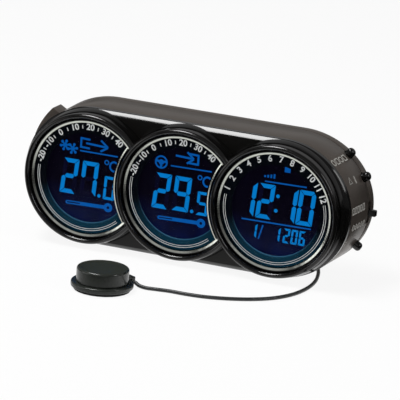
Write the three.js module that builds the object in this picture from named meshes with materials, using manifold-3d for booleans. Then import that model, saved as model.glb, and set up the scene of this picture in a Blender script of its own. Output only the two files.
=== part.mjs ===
import * as THREE from 'three';
import { mergeVertices } from 'three/addons/utils/BufferGeometryUtils.js';
import Module from 'manifold-3d';

const wasm = await Module();
wasm.setup();

// Radio-controlled clock with three round displays, an outdoor sensor and its lead. Millimetres, +Z up.
// The case frame has its origin at the centre of the middle display, on the front face of the lens:
// X to the right along the case, Y from the front to the back, Z up.

// Case outline
const gaugeSpacing = 42.2;
const caseHalfHeight = 29.3;
const caseFrontReach = 30.8;
const caseBackReach = 32.9;
const endSegments = 18;
const shellWall = 2.0;
const bezelFrontY = 3.8;
const bezelBackY = 7.6;
const bezelEdgeRadius = 1.9;
const seamY = 26.0;
const caseBackY = 33.6;
const backEdgeRadius = 4.0;
const footThickness = 0.9;

// Clearances
const seatGap = 0.3;
const runningGap = 0.3;
const travelGap = 0.15;

// Front rings and openings, as radii about each display's centre
const ringInnerRadius = 25.8;
const ringCrestHalfWidth = 1.1;
const ringCrestHeight = 1.5;
const ringCrestBaseY = -1.0;
const ringFlankRadius = 28.3;
const ringFootRadius = 29.1;
const ringSegments = 36;
const ringPhase = 3.1;
const ringOverlap = 0.6;
const trimWidth = 1.5;
const trimCrestY = -0.9;
const biteBandWidth = 1.0;
const ledgeY = 2.0;
const ledgeThickness = 0.8;
const windowRadius = 20.0;

// Lens, mask and display stack
const lensThickness = 1.0;
const maskThickness = 0.4;
const maskWindowRadius = 19.3;
const lcdWidth = 41.4;
const lcdHeight = 39.0;
const lcdCorner = 7.5;
const lcdThickness = 2.8;
const pocketLap = 0.15;
const lightGuideThickness = 3.0;
const boardThickness = 1.6;

// Side controls on the right end, as angles about the right display's centre
const buttonRadius = 2.2;
const buttonProud = 3.1;
const buttonTravel = 0.6;
const buttonFlangeRadius = 3.0;
const buttonFlangeThickness = 1.2;
const modeAngle = 46;
const upAngle = 25.2;
const downAngle = -29.5;
const leverProud = 3.25;
const leverWidth = 2.6;
const leverThickness = 1.9;
const leverTravel = 3.0;
const leverCentreZ = -1.0;
const leverTipChamfer = 0.5;
const leverGuideHalfY = 2.2;
const leverGuideHalfZ = 2.6;
const leverGuideThickness = 1.4;
const leverForkLength = 1.8;
const leverForkHalfY = 0.8;
const leverForkHalfZ = 0.9;
const slideSwitchDepth = 3.4;
const slideSwitchHalfY = 2.4;
const slideSwitchHalfZ = 6.0;

// Press bar on the left end
const barProud = 3.25;
const barHalfHeight = 22.4;
const barWidth = 8.2;
const barCentreY = 24.4;
const barEndSlope = 0.55;
const barTravel = 0.6;
const barFlange = 1.3;
const barFlangeLap = 0.9;
const barSlotGap = 0.6;
const barRise = 1.3;

// Switch boards and switches
const switchBoardY = 22.0;
const switchBoardThickness = 1.2;
const switchBoardInset = 3.9;
const switchBoardInnerX = 7.5;
const switchBoardHighZ = 17.0;
const switchBoardLowZ = -15.0;
const switchPostX = 11.5;
const switchPostHighZ = 9.0;
const switchPostLowZ = -11.5;
const lightBoardInnerX = 3.5;
const lightBoardShoulderX = 9.5;
const lightBoardTongueX = 15.5;
const lightBoardHalfHeight = 11.0;
const lightBoardTongueHalf = 4.0;
const lightPostX = 10.5;
const lightPostZ = 8.5;
const switchBodySize = 5.0;
const switchBodyDepth = 3.6;
const plungerRadius = 1.2;
const plungerLength = 0.9;

// Parts on the main circuit board
const chipX = 22.5;
const chipWidth = 9.0;
const chipHeight = 1.1;
const receiverX = 39.0;
const receiverZ = -8.0;
const receiverWidth = 6.0;
const receiverLength = 8.0;
const receiverHeight = 1.7;
const capacitorX = -30.0;
const capacitorZ = -14.0;
const capacitorRadius = 2.4;
const capacitorHeight = 4.4;

// Batteries, two micro cells, and their compartment
const cellRadius = 5.25;
const cellLength = 43.6;
const cellNubRadius = 1.9;
const cellNubLength = 0.9;
const cellPitch = 11.2;
const trayWall = 1.2;
const contactThickness = 0.4;
const springLength = 3.0;
const contactBump = 0.3;
const contactBumpRadius = 2.2;
const contactFrontReach = 4.2;
const contactBackReach = 3.6;
const contactHalfHeight = 9.4;
const springRadius = 3.6;
const springTaper = 0.7;
const springTurnCount = 3;
const cradleX = 12.0;
const cradleHalfWidth = 1.0;
const doorThickness = 1.2;
const doorLap = 0.9;
const doorGrooves = 4;
const grooveHalfLength = 6.0;
const groovePitch = 1.5;
const grooveEdge = 3.0;
const grooveHalfWidth = 0.4;
const grooveDepth = 0.5;
const doorPadX = 15.0;
const doorPadHalfX = 4.0;
const doorPadHalfZ = 0.9;
const doorPadDepth = 2.0;
const fingerNotchRadius = 5.0;
const fingerNotchDepth = 1.0;

// Vent in the back wall beside the inside sensor
const ventCount = 5;
const ventPitch = 3.0;
const ventX = -40.0;
const ventLength = 14.0;
const ventHalfHeight = 0.6;

// Receiver antenna
const rodRadius = 4.0;
const rodLength = 50.0;
const rodX = -6.0;
const rodZ = 18.2;
const rodY = 17.2;
const windingRadius = 5.2;
const windingLength = 18.0;
const clipThickness = 3.0;
const clipOffset = 19.0;
const clipWall = 1.6;
const clipMouthHalf = 3.6;

// Fasteners
const screwShankRadius = 1.1;
const screwHeadRadius = 2.3;
const screwHeadHeight = 1.6;
const screwHoleRadius = 1.4;
const bossRadius = 3.2;
const standoffRadius = 2.4;
const counterboreDepth = 3.2;
const fastenerSegments = 12;
const caseScrewX = 35.0;
const caseScrewInset = 7.7;
const boardScrewX = 21.1;
const boardScrewInset = 6.3;
const boardScrewTipGap = 2.2;
const caseScrewTipGap = 5.0;
const postScrewGrip = 4.6;

// Feet
const footRadius = 4.0;
const footX = 33.0;
const footFrontY = 12.2;
const footRearY = 21.6;

// Sensor lead
const leadRadius = 0.8;
const leadSides = 8;
const grommetX = 10.0;
const grommetZ = 9.0;
const grommetLength = 9.0;
const grommetFlangeRadius = 3.4;
const grommetInnerFlange = 1.4;
const grommetOuterFlange = 1.0;
const grommetTaperRadius = 2.5;
const grommetRibs = 3;
const grommetRibStep = 0.35;
const coilY = 58.9;
const coilOuterRadius = 17.5;
const coilX = grommetX + coilOuterRadius;
const coilPitch = 2.1;
const coilTurns = 12.5;
const coilLayers = 4;
const coilSteps = 24;
const coilSides = 6;
const floorClearance = 0.05;
const tieThickness = 0.4;
const tieWidth = 3.2;

// Outdoor sensor, standing on the floor in front of the clock
const sensorX = -11.4;
const sensorY = -64.4;
const flangeRadius = 12.8;
const flangeHeight = 3.2;
const capRadius = 10.7;
const capHeight = 9.1;
const capEdgeRadius = 1.4;
const padThickness = 0.8;
const lugAngle = 62;
const lugRadialOffset = 13.6;
const lugLength = 5.0;
const lugWidth = 3.4;
const lugLeadZ = 1.9;
const capWall = 1.3;
const capRoof = 1.7;

// Values worked out from the sizes above
const centreZ = caseHalfHeight + footThickness;
const ringTopY = ringCrestBaseY - ringCrestHeight;
const caseMidY = (ringTopY + caseBackY) / 2;
const gaugeX = [-gaugeSpacing, 0, gaugeSpacing];
const gaugeNames = ['left', 'middle', 'right'];
const maskFrontY = lensThickness + seatGap;
const lcdFrontY = ledgeY + ledgeThickness + seatGap;
const guideFrontY = lcdFrontY + lcdThickness + seatGap;
const boardFrontY = guideFrontY + lightGuideThickness + seatGap;
const boardBackY = boardFrontY + boardThickness;
const housingFrontY = bezelBackY + seatGap;
const seamHalfGap = seatGap / 2;
const backWallY = caseBackY - shellWall;
const backStandY = caseBackY - caseMidY;
const controlY = seamY;
const caseScrewZ = caseHalfHeight - caseScrewInset;
const boardScrewZ = caseHalfHeight - boardScrewInset;
const lensRadius = ringInnerRadius - seatGap - trimWidth - seatGap;
const lensBiteRadius = ringFlankRadius + seatGap + biteBandWidth + seatGap;

// Materials
const glossBlack = finish('#101011', 0.12, 0.0);
const satinCase = finish('#5d5650', 0.42, 0.55);
const satinRear = finish('#57514b', 0.45, 0.5);
const darkTrim = finish('#141415', 0.1, 0.0);
const lensTint = finish('#0b1216', 0.05, 0.0);
const maskBlack = finish('#0a0d10', 0.6, 0.0);
const lcdBlue = finish('#101338', 0.3, 0.0);
const clearGuide = finish('#cfdbe2', 0.2, 0.0);
const boardGreen = finish('#1d5a34', 0.5, 0.0);
const keyBlack = finish('#141414', 0.3, 0.0);
const switchBlack = finish('#202022', 0.6, 0.0);
const steel = finish('#b4b6b8', 0.3, 1.0);
const ferriteGrey = finish('#34343a', 0.7, 0.0);
const copper = finish('#a8602c', 0.4, 0.9);
const clipWhite = finish('#d8d6cf', 0.6, 0.0);
const cellJacket = finish('#3a4a63', 0.35, 0.3);
const rubberBlack = finish('#1c1c1c', 0.85, 0.0);
const leadGrey = finish('#3b3e3f', 0.6, 0.0);
const sensorBlack = finish('#1f2222', 0.18, 0.0);
const foamGrey = finish('#2b2b2b', 0.95, 0.0);

function finish(colour, roughness, metalness) {
  return new THREE.MeshStandardMaterial({ color: colour, roughness, metalness });
}

// Solids for joining and cutting
function solid(geometry) {
  const bare = geometry.clone();
  bare.deleteAttribute('normal');
  bare.deleteAttribute('uv');
  const merged = mergeVertices(bare, 1e-4);
  const source = merged.attributes.position.array;
  const index = Uint32Array.from(merged.index.array);
  if (signedVolume(source, index) < 0) {
    for (let i = 0; i < index.length; i += 3) {
      const keep = index[i];
      index[i] = index[i + 1];
      index[i + 1] = keep;
    }
  }
  const data = { numProp: 3, vertProperties: Float32Array.from(source), triVerts: index };
  return new wasm.Manifold(new wasm.Mesh(data));
}

function signedVolume(p, index) {
  let sum = 0;
  for (let i = 0; i < index.length; i += 3) {
    const a = index[i] * 3;
    const b = index[i + 1] * 3;
    const c = index[i + 2] * 3;
    sum += p[a] * (p[b + 1] * p[c + 2] - p[b + 2] * p[c + 1]);
    sum += p[a + 1] * (p[b + 2] * p[c] - p[b] * p[c + 2]);
    sum += p[a + 2] * (p[b] * p[c + 1] - p[b + 1] * p[c]);
  }
  return sum;
}

function geometryOf(body) {
  const data = body.getMesh();
  const geometry = new THREE.BufferGeometry();
  geometry.setAttribute('position', new THREE.BufferAttribute(Float32Array.from(data.vertProperties), 3));
  geometry.setIndex(new THREE.BufferAttribute(Uint32Array.from(data.triVerts), 1));
  return geometry;
}

function joined(pieces) {
  return pieces.reduce((whole, piece) => whole.add(piece));
}

function cut(body, tools) {
  return tools.reduce((whole, tool) => whole.subtract(tool), body);
}

// Basic shapes, placed in the case frame
function prismY(points, frontY, backY, holes = []) {
  const shape = new THREE.Shape(points);
  for (const hole of holes) shape.holes.push(new THREE.Path(hole));
  const settings = { depth: backY - frontY, bevelEnabled: false, curveSegments: 1 };
  return new THREE.ExtrudeGeometry(shape, settings).rotateX(Math.PI / 2).translate(0, backY, 0);
}

function discY(x, z, radius, frontY, backY, segments = 32) {
  return new THREE.CylinderGeometry(radius, radius, backY - frontY, segments)
    .translate(x, (frontY + backY) / 2, z);
}

function box(lowX, highX, lowY, highY, lowZ, highZ) {
  return new THREE.BoxGeometry(highX - lowX, highY - lowY, highZ - lowZ)
    .translate((lowX + highX) / 2, (lowY + highY) / 2, (lowZ + highZ) / 2);
}

function turnedY(profile, x, z, segments, phase = 0) {
  const points = profile.map(([radius, y]) => new THREE.Vector2(radius, y));
  return new THREE.LatheGeometry(points, segments)
    .rotateY(THREE.MathUtils.degToRad(phase))
    .translate(x, 0, z);
}

// A turned piece whose axis lies along a radius of the right end, at an angle above the X axis
function radialTurned(profile, angle, segments) {
  const points = profile.map(([radius, along]) => new THREE.Vector2(radius, along));
  return new THREE.LatheGeometry(points, segments)
    .rotateZ(-Math.PI / 2)
    .rotateY(-THREE.MathUtils.degToRad(angle))
    .translate(gaugeSpacing, controlY, 0);
}

function radialBox(lowR, highR, halfY, halfT, angle) {
  return new THREE.BoxGeometry(highR - lowR, 2 * halfY, 2 * halfT)
    .translate((lowR + highR) / 2, 0, 0)
    .rotateY(-THREE.MathUtils.degToRad(angle))
    .translate(gaugeSpacing, controlY, 0);
}

// Case outline: a straight-sided slot whose ends reach a little further towards the back
function reachAt(y) {
  const share = (y - bezelBackY) / (caseBackY - bezelBackY);
  return caseFrontReach + (caseBackReach - caseFrontReach) * Math.max(0, share);
}

function caseOutline(inset, y) {
  const halfHeight = caseHalfHeight - inset;
  const reach = reachAt(y) - inset;
  const points = [];
  for (const side of [1, -1]) {
    for (let i = 0; i <= endSegments; i++) {
      const angle = Math.PI * (i / endSegments - 0.5);
      const x = gaugeSpacing + reach * Math.cos(angle);
      points.push(new THREE.Vector2(side * x, side * halfHeight * Math.sin(angle)));
    }
  }
  return points;
}

// A closed body through outlines with equal numbers of points, each at its own Y
function loft(sections) {
  const count = sections[0].points.length;
  const position = [];
  for (const { points, y } of sections) {
    for (const point of points) position.push(point.x, y, point.y);
  }
  const index = [];
  for (let s = 0; s < sections.length - 1; s++) {
    for (let i = 0; i < count; i++) {
      const a = s * count + i;
      const b = s * count + (i + 1) % count;
      index.push(a, b, a + count, b, b + count, a + count);
    }
  }
  const cap = THREE.ShapeUtils.triangulateShape(sections[0].points, []);
  const last = (sections.length - 1) * count;
  for (const [a, b, c] of cap) {
    index.push(a, c, b);
    index.push(last + a, last + b, last + c);
  }
  const geometry = new THREE.BufferGeometry();
  geometry.setAttribute('position', new THREE.Float32BufferAttribute(position, 3));
  geometry.setIndex(index);
  return geometry;
}

function caseLoft(inset, frontY, backY) {
  return loft([frontY, backY].map((y) => ({ points: caseOutline(inset, y), y })));
}

const biteCount = 9;

// Outline of a display opening, grown or shrunk by an offset; the next ring bites into the first two
function gaugeOutline(gauge, radius, biteRadius, count = 34) {
  const centre = gaugeX[gauge];
  const points = [];
  if (gauge === 2) {
    const whole = count + biteCount;
    for (let i = 0; i < whole; i++) {
      const angle = 2 * Math.PI * i / whole;
      points.push(new THREE.Vector2(centre + radius * Math.cos(angle), radius * Math.sin(angle)));
    }
    return points;
  }
  const toCusp = (gaugeSpacing ** 2 + radius ** 2 - biteRadius ** 2) / (2 * gaugeSpacing);
  const cusp = Math.acos(toCusp / radius);
  const biteHalf = Math.asin(radius * Math.sin(cusp) / biteRadius);
  for (let i = 0; i <= count; i++) {
    const angle = cusp + (2 * Math.PI - 2 * cusp) * i / count;
    points.push(new THREE.Vector2(centre + radius * Math.cos(angle), radius * Math.sin(angle)));
  }
  for (let i = 1; i < biteCount; i++) {
    const angle = Math.PI + biteHalf - 2 * biteHalf * i / biteCount;
    const x = centre + gaugeSpacing + biteRadius * Math.cos(angle);
    points.push(new THREE.Vector2(x, biteRadius * Math.sin(angle)));
  }
  return points;
}

// Scene graph
const group = new THREE.Group();
const clock = new THREE.Group();
clock.position.set(0, -caseMidY, centreZ);
group.add(clock);

function node(name, shape, material, parent = clock) {
  const body = shape.getMesh ? shape : solid(shape);
  const mesh = new THREE.Mesh(geometryOf(body), material);
  mesh.name = name;
  parent.add(mesh);
  return mesh;
}

// Front bezel: a stadium plate with three raised rings, each later ring lying over the one before
function ringProfile() {
  const crestRadius = ringInnerRadius + ringCrestHalfWidth;
  const profile = [[ringInnerRadius, ledgeY + 0.5]];
  const steps = 4;
  for (let i = 0; i <= steps; i++) {
    const angle = Math.PI * (1 - i / steps);
    const radius = crestRadius + ringCrestHalfWidth * Math.cos(angle);
    profile.push([radius, ringCrestBaseY - ringCrestHeight * Math.sin(angle)]);
  }
  profile.push([ringFlankRadius - 0.12, ledgeY + 0.5]);
  profile.push([ringInnerRadius, ledgeY + 0.5]);
  return profile;
}

function bezelPlate() {
  const sections = [];
  const steps = 3;
  for (let i = 0; i <= steps; i++) {
    const angle = Math.PI / 2 * i / steps;
    const inset = bezelEdgeRadius * (1 - Math.sin(angle));
    const y = bezelFrontY + bezelEdgeRadius * (1 - Math.cos(angle));
    sections.push({ points: caseOutline(inset, bezelBackY), y });
  }
  sections.push({ points: caseOutline(0, bezelBackY), y: bezelBackY });
  return solid(loft(sections));
}

function ringPedestal(x, gauge) {
  const profile = [
    [0, ledgeY], [ringFlankRadius, ledgeY], [ringFootRadius, bezelFrontY + 0.2],
    [ringFootRadius, bezelBackY], [0, bezelBackY],
  ];
  return solid(turnedY(profile, x, 0, ringSegments, gauge * ringPhase));
}

function frontBezel() {
  let body = bezelPlate();
  gaugeX.forEach((x, gauge) => {
    body = body.add(ringPedestal(x, gauge));
  });
  gaugeX.forEach((x, gauge) => {
    let ring = solid(turnedY(ringProfile(), x, 0, ringSegments, gauge * ringPhase));
    if (gauge < 2) {
      const clearRadius = ringFlankRadius - ringOverlap;
      const clear = discY(x + gaugeSpacing, 0, clearRadius, ringTopY - 1, ledgeY + 1, ringSegments);
      ring = ring.subtract(solid(clear));
    }
    body = body.add(ring);
  });
  const ledgeBack = ledgeY + ledgeThickness;
  gaugeX.forEach((x, gauge) => {
    let opening = solid(discY(x, 0, windowRadius, ledgeY - 0.5, ledgeBack + 0.5, ringSegments));
    if (gauge < 2) {
      const keepRadius = ringFlankRadius + 1;
      const keep = discY(x + gaugeSpacing, 0, keepRadius, ledgeY - 1, ledgeBack + 1, ringSegments);
      opening = opening.subtract(solid(keep));
    }
    body = body.subtract(opening);
  });
  const pocketHalfHeight = lcdHeight / 2 + seatGap;
  for (const x of gaugeX) {
    const outline = panelOutline(x, gaugeSpacing / 2 + pocketLap, pocketHalfHeight, lcdCorner);
    body = body.subtract(solid(prismY(outline, ledgeBack, bezelBackY + 1)));
  }
  const guideHalfWidth = gaugeSpacing + lcdWidth / 2 + seatGap;
  const guidePocket = panelOutline(0, guideHalfWidth, pocketHalfHeight, lcdCorner);
  body = body.subtract(solid(prismY(guidePocket, guideFrontY - seatGap, bezelBackY + 1)));
  return body.add(bezelSkirt()).add(boardPosts()).subtract(boardPostHoles());
}

function bezelSkirt() {
  const outer = shellWall + seatGap;
  const skirtBackY = boardFrontY - seatGap;
  const outside = solid(caseLoft(outer, bezelBackY - 0.5, skirtBackY));
  return outside.subtract(solid(caseLoft(outer + 1.2, bezelBackY - 1, skirtBackY + 1)));
}

function boardPostPlaces() {
  return [[-boardScrewX, boardScrewZ], [boardScrewX, -boardScrewZ]];
}

function boardPosts() {
  return joined(boardPostPlaces().map(([x, z]) => (
    solid(discY(x, z, bossRadius, bezelBackY - 0.5, boardFrontY - seatGap, 16)))));
}

function boardPostHoles() {
  return joined(boardPostPlaces().map(([x, z]) => (
    solid(discY(x, z, screwHoleRadius, bezelFrontY + 1.6, boardFrontY + 1, 12)))));
}

// Front housing: the open middle shell, with bosses for the case screws
function caseScrewPlaces() {
  const places = [];
  for (const x of [-caseScrewX, caseScrewX]) {
    for (const z of [-caseScrewZ, caseScrewZ]) places.push([x, z]);
  }
  return places;
}

function screwBoss(x, z, frontY, backY) {
  const side = Math.sign(z);
  const wallZ = side * (caseHalfHeight - shellWall / 2);
  const rib = box(x - 1, x + 1, frontY, backY, Math.min(z, wallZ), Math.max(z, wallZ));
  return solid(discY(x, z, bossRadius, frontY, backY, 16)).add(solid(rib));
}

function frontHousing() {
  const backY = seamY - seamHalfGap;
  const outside = solid(caseLoft(0, housingFrontY, backY));
  let body = outside.subtract(solid(caseLoft(shellWall, housingFrontY - 1, backY + 1)));
  const bossFrontY = boardBackY + 1.2;
  for (const [x, z] of caseScrewPlaces()) {
    body = body.add(screwBoss(x, z, bossFrontY, backY));
    body = body.subtract(solid(discY(x, z, screwHoleRadius, bossFrontY + 2, backY + 1, 12)));
  }
  return cut(body, controlHoles());
}

// Holes across the seam for the side controls
function controlHoles() {
  const holes = [modeAngle, upAngle, downAngle].map((angle) => {
    const profile = [
      [0, 22], [buttonRadius + runningGap, 22], [buttonRadius + runningGap, 40], [0, 40],
    ];
    return solid(radialTurned(profile, angle, 20));
  });
  const slotHalfZ = leverWidth / 2 + leverTravel + runningGap;
  const slotHalfY = leverThickness / 2 + runningGap;
  const slotX = gaugeSpacing + 22;
  holes.push(solid(box(slotX, slotX + 20, controlY - slotHalfY, controlY + slotHalfY,
    leverCentreZ - slotHalfZ, leverCentreZ + slotHalfZ)));
  holes.push(solid(barPrism(barSlotGap, 6, barWidth / 2 + runningGap, barProud)));
  return holes;
}

// Rear housing: back wall with a rounded edge, battery tray, screw tubes, vent and lead hole
function rearShell() {
  const sections = [{ points: caseOutline(0, seamY), y: seamY + seamHalfGap }];
  const steps = 4;
  for (let i = 0; i <= steps; i++) {
    const angle = Math.PI / 2 * i / steps;
    const y = caseBackY - backEdgeRadius * (1 - Math.sin(angle));
    const inset = backEdgeRadius * (1 - Math.cos(angle));
    sections.push({ points: caseOutline(inset, y), y });
  }
  return solid(loft(sections));
}

function rearCavity() {
  const innerEdge = backEdgeRadius - shellWall;
  const sections = [{ points: caseOutline(shellWall, seamY), y: seamY - 1 }];
  for (let i = 0; i <= 2; i++) {
    const angle = Math.PI / 2 * i / 2;
    const y = backWallY - innerEdge * (1 - Math.sin(angle));
    sections.push({ points: caseOutline(shellWall + innerEdge * (1 - Math.cos(angle)), y), y });
  }
  return solid(loft(sections));
}

const cellStack = cellLength + cellNubLength + springLength + contactBump;
const trayHalfX = cellStack / 2 + contactThickness + 2 * seatGap;
const trayHalfZ = cellPitch / 2 + cellRadius + seatGap;
const cellY = caseBackY - doorThickness - seatGap - cellRadius - 0.1;
const trayFloorY = cellY - cellRadius - seatGap;
const doorHalfX = trayHalfX + doorLap;
const doorHalfZ = trayHalfZ + doorLap;

function batteryTray() {
  const halfX = trayHalfX + trayWall;
  const halfZ = trayHalfZ + trayWall;
  return solid(box(-halfX, halfX, trayFloorY - trayWall, backWallY + 0.5, -halfZ, halfZ));
}

function trayCavity() {
  return solid(box(-trayHalfX, trayHalfX, trayFloorY, caseBackY + 1, -trayHalfZ, trayHalfZ));
}

function doorRecess() {
  const halfX = doorHalfX + seatGap;
  const halfZ = doorHalfZ + seatGap;
  return solid(box(-halfX, halfX, caseBackY - doorThickness - seatGap, caseBackY + 1, -halfZ, halfZ));
}

function cellCradle() {
  const halfZ = cellPitch / 2;
  const parts = [-cradleX, cradleX].map((x) => {
    const rib = solid(box(x - cradleHalfWidth, x + cradleHalfWidth, trayFloorY - 0.2, cellY - 1.6,
      -halfZ, halfZ));
    const cells = [-1, 1].map((side) => (
      solid(cylinderX(x - 2, x + 2, cellY, side * halfZ, cellRadius + seatGap, 18))));
    return cut(rib, cells);
  });
  return joined(parts);
}

function cylinderX(lowX, highX, y, z, radius, segments) {
  return new THREE.CylinderGeometry(radius, radius, highX - lowX, segments)
    .rotateZ(Math.PI / 2).translate((lowX + highX) / 2, y, z);
}

function ventSlots() {
  const slots = [];
  for (let i = 0; i < ventCount; i++) {
    const z = (i - (ventCount - 1) / 2) * ventPitch;
    slots.push(solid(box(ventX - ventLength / 2, ventX + ventLength / 2, backWallY - 1, caseBackY + 1,
      z - ventHalfHeight, z + ventHalfHeight)));
  }
  return slots;
}

function locatingTabs() {
  const outer = caseHalfHeight - shellWall - seatGap;
  const tabs = [];
  for (const side of [-1, 1]) {
    for (const x of [-20, 20]) {
      const low = Math.min(side * outer, side * (outer - 1.2));
      const high = Math.max(side * outer, side * (outer - 1.2));
      tabs.push(solid(box(x - 5, x + 5, seamY - 2.6, backWallY - 1, low, high)));
      const wall = side * (caseHalfHeight - 1);
      tabs.push(solid(box(x - 5, x + 5, seamY + 0.8, seamY + 2.6,
        Math.min(wall, side * (outer - 1.2)), Math.max(wall, side * (outer - 1.2)))));
    }
  }
  return joined(tabs);
}

function switchPostPlaces() {
  return [[gaugeSpacing + switchPostX, switchPostHighZ], [gaugeSpacing + switchPostX, switchPostLowZ]];
}

function lightPostPlaces() {
  return [[-gaugeSpacing - lightPostX, lightPostZ], [-gaugeSpacing - lightPostX, -lightPostZ]];
}

function boardStandoffs() {
  const backY = backWallY + 0.5;
  const frontY = switchBoardY + switchBoardThickness + seatGap;
  const posts = [switchPostPlaces(), lightPostPlaces()].map(([screwed, pegged]) => {
    const post = solid(discY(...screwed, standoffRadius, frontY, backY, fastenerSegments));
    const hole = solid(discY(...screwed, screwHoleRadius, frontY - 1, frontY + 5.6, fastenerSegments));
    const seat = solid(discY(...pegged, standoffRadius, frontY, backY, fastenerSegments));
    const peg = solid(discY(...pegged, screwShankRadius, switchBoardY - 0.6, frontY + 0.5, fastenerSegments));
    return post.subtract(hole).add(seat).add(peg);
  });
  return joined(posts);
}

function rearHousing() {
  let body = rearShell().subtract(rearCavity());
  for (const [x, z] of caseScrewPlaces()) {
    body = body.add(screwBoss(x, z, seamY + seamHalfGap, backWallY + 0.5));
  }
  body = body.add(batteryTray()).add(locatingTabs()).add(boardStandoffs());
  body = body.subtract(trayCavity()).add(cellCradle()).subtract(doorRecess());
  for (const [x, z] of caseScrewPlaces()) {
    body = body.subtract(solid(discY(x, z, screwHoleRadius, seamY - 1, caseBackY + 1, fastenerSegments)));
    const boreRadius = screwHeadRadius + seatGap;
    body = body.subtract(solid(discY(x, z, boreRadius, caseBackY - counterboreDepth, caseBackY + 1, 16)));
  }
  const grommetPlace = [grommetX, grommetZ - centreZ];
  const leadHole = discY(...grommetPlace, grommetFlangeRadius - 1, backWallY - 1, caseBackY + 1, 20);
  body = body.subtract(solid(leadHole));
  const notch = discY(0, doorHalfZ, fingerNotchRadius, caseBackY - fingerNotchDepth, caseBackY + 1, 20);
  body = body.subtract(solid(notch));
  return cut(cut(body, ventSlots()), controlHoles());
}

// Battery door: plate with grip grooves at the top edge and pads that reach between the cells
function batteryDoor() {
  const innerY = caseBackY - doorThickness;
  let body = solid(box(-doorHalfX, doorHalfX, innerY, caseBackY, -doorHalfZ, doorHalfZ));
  for (let i = 0; i < doorGrooves; i++) {
    const z = doorHalfZ - grooveEdge - i * groovePitch;
    const groove = box(-grooveHalfLength, grooveHalfLength, caseBackY - grooveDepth, caseBackY + 1,
      z - grooveHalfWidth, z + grooveHalfWidth);
    body = body.subtract(solid(groove));
  }
  for (const x of [-doorPadX, doorPadX]) {
    const pad = box(x - doorPadHalfX, x + doorPadHalfX, innerY - doorPadDepth, innerY + 0.1,
      -doorPadHalfZ, doorPadHalfZ);
    body = body.add(solid(pad));
  }
  return body;
}

// Display stack
function lens(gauge) {
  return prismY(gaugeOutline(gauge, lensRadius, lensBiteRadius), 0, lensThickness);
}

function dialMask(gauge) {
  const outline = gaugeOutline(gauge, lensRadius, lensBiteRadius);
  const plate = solid(prismY(outline, maskFrontY, maskFrontY + maskThickness));
  const x = gaugeX[gauge];
  let opening = solid(discY(x, 0, maskWindowRadius, maskFrontY - 1, maskFrontY + 2, 40));
  if (gauge < 2) {
    const margin = discY(x + gaugeSpacing, 0, lensBiteRadius + 0.8, maskFrontY - 2, maskFrontY + 3, 40);
    opening = opening.subtract(solid(margin));
  }
  return plate.subtract(opening);
}

function trimRing(gauge) {
  const backY = ledgeY - seatGap;
  const shoulderY = trimCrestY + 0.6;
  const profile = [
    [0, backY], [0, shoulderY], [0.6, trimCrestY], [trimWidth, shoulderY + 0.3], [trimWidth, backY],
  ];
  return gaugeBand(gauge, ringInnerRadius - seatGap, ringFlankRadius + seatGap, profile);
}

// A closed band that follows a display opening, from pairs of inward offset and Y; narrower along the bite
function gaugeBand(gauge, radius, biteRadius, profile) {
  const rings = profile.map(([inward, y]) => {
    const outline = gaugeOutline(gauge, radius - inward, biteRadius + inward * biteBandWidth / trimWidth);
    return { outline, y };
  });
  const count = rings[0].outline.length;
  const position = [];
  for (const { outline, y } of rings) {
    for (const point of outline) position.push(point.x, y, point.y);
  }
  const index = [];
  for (let r = 0; r < rings.length; r++) {
    const next = (r + 1) % rings.length;
    for (let i = 0; i < count; i++) {
      const a = r * count + i;
      const b = r * count + (i + 1) % count;
      const c = next * count + i;
      const d = next * count + (i + 1) % count;
      index.push(a, b, c, b, d, c);
    }
  }
  const geometry = new THREE.BufferGeometry();
  geometry.setAttribute('position', new THREE.Float32BufferAttribute(position, 3));
  geometry.setIndex(index);
  return geometry;
}

function panelOutline(x, halfWidth, halfHeight, corner) {
  const points = [];
  const corners = [[1, -1], [1, 1], [-1, 1], [-1, -1]];
  for (const [sideX, sideZ] of corners) {
    const upright = new THREE.Vector2(x + sideX * halfWidth, sideZ * (halfHeight - corner));
    const level = new THREE.Vector2(x + sideX * (halfWidth - corner), sideZ * halfHeight);
    if (sideX * sideZ > 0) points.push(upright, level);
    else points.push(level, upright);
  }
  return points;
}

function displayStack() {
  gaugeNames.forEach((name, gauge) => {
    const x = gaugeX[gauge];
    const outline = panelOutline(x, lcdWidth / 2, lcdHeight / 2, lcdCorner);
    node(`${name}_lens`, lens(gauge), lensTint);
    node(`${name}_trim_ring`, trimRing(gauge), darkTrim);
    node(`${name}_dial_mask`, dialMask(gauge), maskBlack);
    node(`${name}_lcd_panel`, prismY(outline, lcdFrontY, lcdFrontY + lcdThickness), lcdBlue);
  });
  const guideOutline = panelOutline(0, gaugeSpacing + lcdWidth / 2, lcdHeight / 2, lcdCorner);
  node('light_guide', prismY(guideOutline, guideFrontY, guideFrontY + lightGuideThickness), clearGuide);
}

// Main circuit board with holes for its screws
function mainBoard() {
  const inset = shellWall + seatGap + 0.3;
  let body = solid(caseLoft(inset, boardFrontY, boardBackY));
  for (const [x, z] of boardPostPlaces()) {
    body = body.subtract(solid(discY(x, z, screwHoleRadius, boardFrontY - 1, boardBackY + 1, 12)));
  }
  const base = boardBackY - 0.1;
  const chipHalf = chipWidth / 2;
  const chip = box(chipX - chipHalf, chipX + chipHalf, base, boardBackY + chipHeight, -chipHalf, chipHalf);
  const receiver = box(receiverX - receiverWidth / 2, receiverX + receiverWidth / 2, base,
    boardBackY + receiverHeight, receiverZ - receiverLength / 2, receiverZ + receiverLength / 2);
  const capacitor = discY(capacitorX, capacitorZ, capacitorRadius, base, boardBackY + capacitorHeight, 16);
  return joined([body, solid(chip), solid(receiver), solid(capacitor)]);
}

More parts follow.
